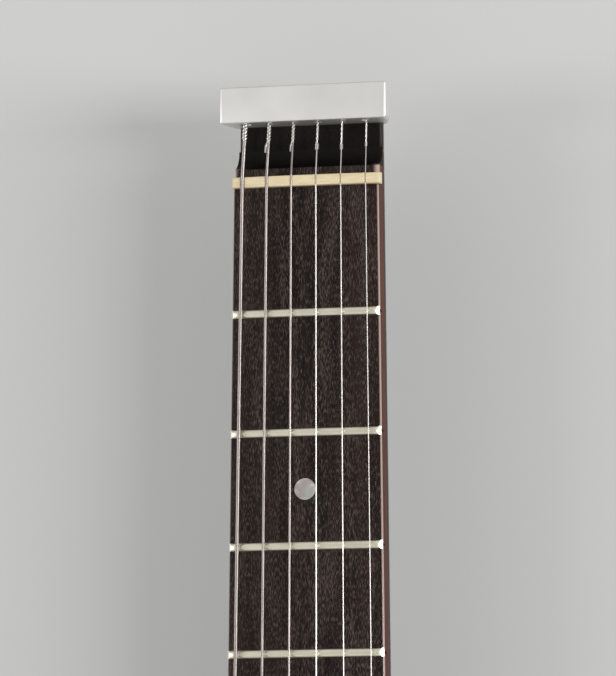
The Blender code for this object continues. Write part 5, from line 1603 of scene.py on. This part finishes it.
def ear(x, y, radius):
    """A rounded lug that hangs from the plate, with the hole that the key runs in."""
    top = PLATE_BOTTOM - WORM_Z + 0.0007
    outline = eased([(-0.0033, top), (-0.0033, -0.0032), (0.0033, -0.0032), (0.0033, top)],
                    [0.0001, 0.0022, 0.0022, 0.0001], 6)
    lug = plate(outline, -EAR_HALF, EAR_HALF, 0.0002, [circle(radius, 24)], 0.0001)
    return put(lug, (x, y, WORM_Z), SIDEWAYS)


for side, name in ((-1, "bass"), (1, "treble")):
    low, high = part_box(f"tuner_plate_{name}")
    x = side * 0.027
    centre = ((low.x + high.x) / 2, (low.y + high.y) / 2)
    places = [along(at) for post_x, at in POST_PLACES if post_x * side > 0]
    outline = box_outline((high.x - low.x) / 2, (high.y - low.y) / 2, 0.003, centre)
    holes = [circle(0.0031, 32, (x, y)) for y in places]
    shapes = [plate(outline, PLATE_BOTTOM, PLATE_TOP, 0.0003, holes)]
    for y in places:
        for way in (-1, 1):
            radius = 0.0018 if way == side else 0.0015
            shapes.append(ear(x + way * (WORM_HALF + SEAM + EAR_HALF), y + MESH_DISTANCE, radius))
    piece(f"machine_plate_{name}", join(*shapes), NICKEL, stands_for=[f"tuner_plate_{name}"])
    spots = [(centre[0] + a * 0.0078, centre[1] + b * 0.0345) for a in (-1, 1) for b in (-1, 1)]
    screw_head = slotted_head(0.0018, 0.0010, 0.0003)
    screws = [put(screw_head, (*spot, PLATE_BOTTOM), DOWNWARD) for spot in spots]
    piece(f"plate_screws_{name}", join(*screws), NICKEL)
print("machines on both sides")

# %% [markdown]
# ## Floor, light and camera
# A pale floor and a sky that is bright half way up and dimmer at the walls stand for a plain
# studio. A ready-made studio picture would tie the scene to another file, so the floor is a plane
# with a faint tone of its own.

# %% Floor


def make_floor():
    """A wide pale plane just under the guitar, for looks only."""
    mesh = bpy.data.meshes.new("floor")
    mesh.from_pydata([(-6, -6, 0), (6, -6, 0), (6, 6, 0), (-6, 6, 0)], [], [(0, 1, 2, 3)])
    floor = bpy.data.objects.new("floor", mesh)
    bpy.context.scene.collection.objects.link(floor)
    made, tree, shader, position = new_material("pale_floor", Roughness=0.9, Specular_IOR_Level=0.1)
    tone = add(tree, "TexNoise", {"Vector": position, "Scale": 3.0, "Detail": 3.0}).outputs["Fac"]
    colour = mix_colours(tree, tone, (0.58, 0.58, 0.575, 1), (0.62, 0.62, 0.615, 1))
    tree.links.new(colour, shader.inputs["Base Color"])
    mesh.materials.append(made)
    floor.location.z = -0.0002


make_floor()
print("floor in place, for looks only")

# %% [markdown]
# The light comes from the sky and from two large soft lamps, a strong one at the right and a weaker
# one at the left. Both stand far to the sides, where flat metal doesn't mirror them into the lens
# but rounded edges do, so the fret ends get their bright lines and the board's rolled edge a real
# highlight over its painted one.

# %% Sky and lamps


def make_sky():
    """The sky's strength follows the sine of the height of the direction looked at: dim at the
    walls, bright half way up, and dimmer overhead, where a photographer keeps the room dark. The
    camera itself sees a plain pale backdrop."""
    world = bpy.data.worlds.new("studio")
    bpy.context.scene.world = world
    world.use_nodes = True
    tree = world.node_tree
    direction = add(tree, "TexCoord").outputs["Generated"]
    height = add(tree, "SeparateXYZ", {0: direction}).outputs["Z"]
    curve = add(tree, "FloatCurve", {"Value": height})
    line = curve.mapping.curves[0]
    line.points[0].location = (0.0, 0.10)
    line.points[1].location = (1.0, 0.40)
    for place in ((0.3, 0.32), (0.6, 0.64), (0.85, 0.63)):
        line.points.new(*place)
    curve.mapping.update()
    camera_ray = add(tree, "LightPath").outputs["Is Camera Ray"]
    shown = add(tree, "MapRange", {
        "Value": camera_ray, "To Min": curve.outputs[0], "To Max": 0.86,
    }).outputs["Result"]
    tree.links.new(shown, tree.nodes["Background"].inputs["Strength"])
    tree.nodes["Background"].inputs["Color"].default_value = (1, 1, 1, 1)


def lamp(name, place, target, size, power):
    """A soft box that looks at its target."""
    light = bpy.data.lights.new(name, "AREA")
    light.shape = "RECTANGLE"
    light.size, light.size_y = size
    light.energy = power
    made = bpy.data.objects.new(name, light)
    bpy.context.scene.collection.objects.link(made)
    made.location = place
    made.rotation_euler = (Vector(target) - Vector(place)).to_track_quat("-Z", "Y").to_euler()


make_sky()
lamp("right_box", (3.50, 0.15, 2.06), (0, 0.15, 0.04), (0.90, 3.0), 122)
lamp("left_box", (-3.70, 0.10, 2.26), (0, 0.10, 0.04), (0.90, 3.0), 57)
print("lamps:", [light.name for light in bpy.data.lights])

# %% [markdown]
# The camera stands where the photograph's did. Seen from far away with a long lens, the neck hardly
# narrows with distance. Place, two angles and focal length came from the nut and the three frets
# that show, which fix the camera better than trying by eye.

# %% Camera
AIM = Vector((0.0009, along(0.0437), 0.0461))
YAW, PITCH = math.radians(16.0), math.radians(6.5)
LENS = 336.5
STAND_OFF = 1.8


def make_camera():
    """The camera's own back axis comes from the yaw to the treble side and the pitch to the bridge;
    its up axis is world Y made square to that."""
    back = Vector((math.sin(YAW) * math.cos(PITCH), -math.sin(PITCH), math.cos(YAW) * math.cos(PITCH)))
    up = Vector((0, 1, 0))
    up = (up - back * up.dot(back)).normalized()
    right = up.cross(back)
    data = bpy.data.cameras.new("camera")
    data.lens = LENS
    data.sensor_width = 36
    camera = bpy.data.objects.new("camera", data)
    bpy.context.scene.collection.objects.link(camera)
    turn = Matrix((right, up, back)).transposed()
    camera.matrix_world = Matrix.Translation(AIM + back * STAND_OFF) @ turn.to_4x4()
    data.clip_start, data.clip_end = 0.1, 20
    bpy.context.scene.camera = camera


make_camera()
bpy.context.scene.view_settings.view_transform = "Standard"
print("camera", STAND_OFF, "m away with a lens of", LENS, "mm")
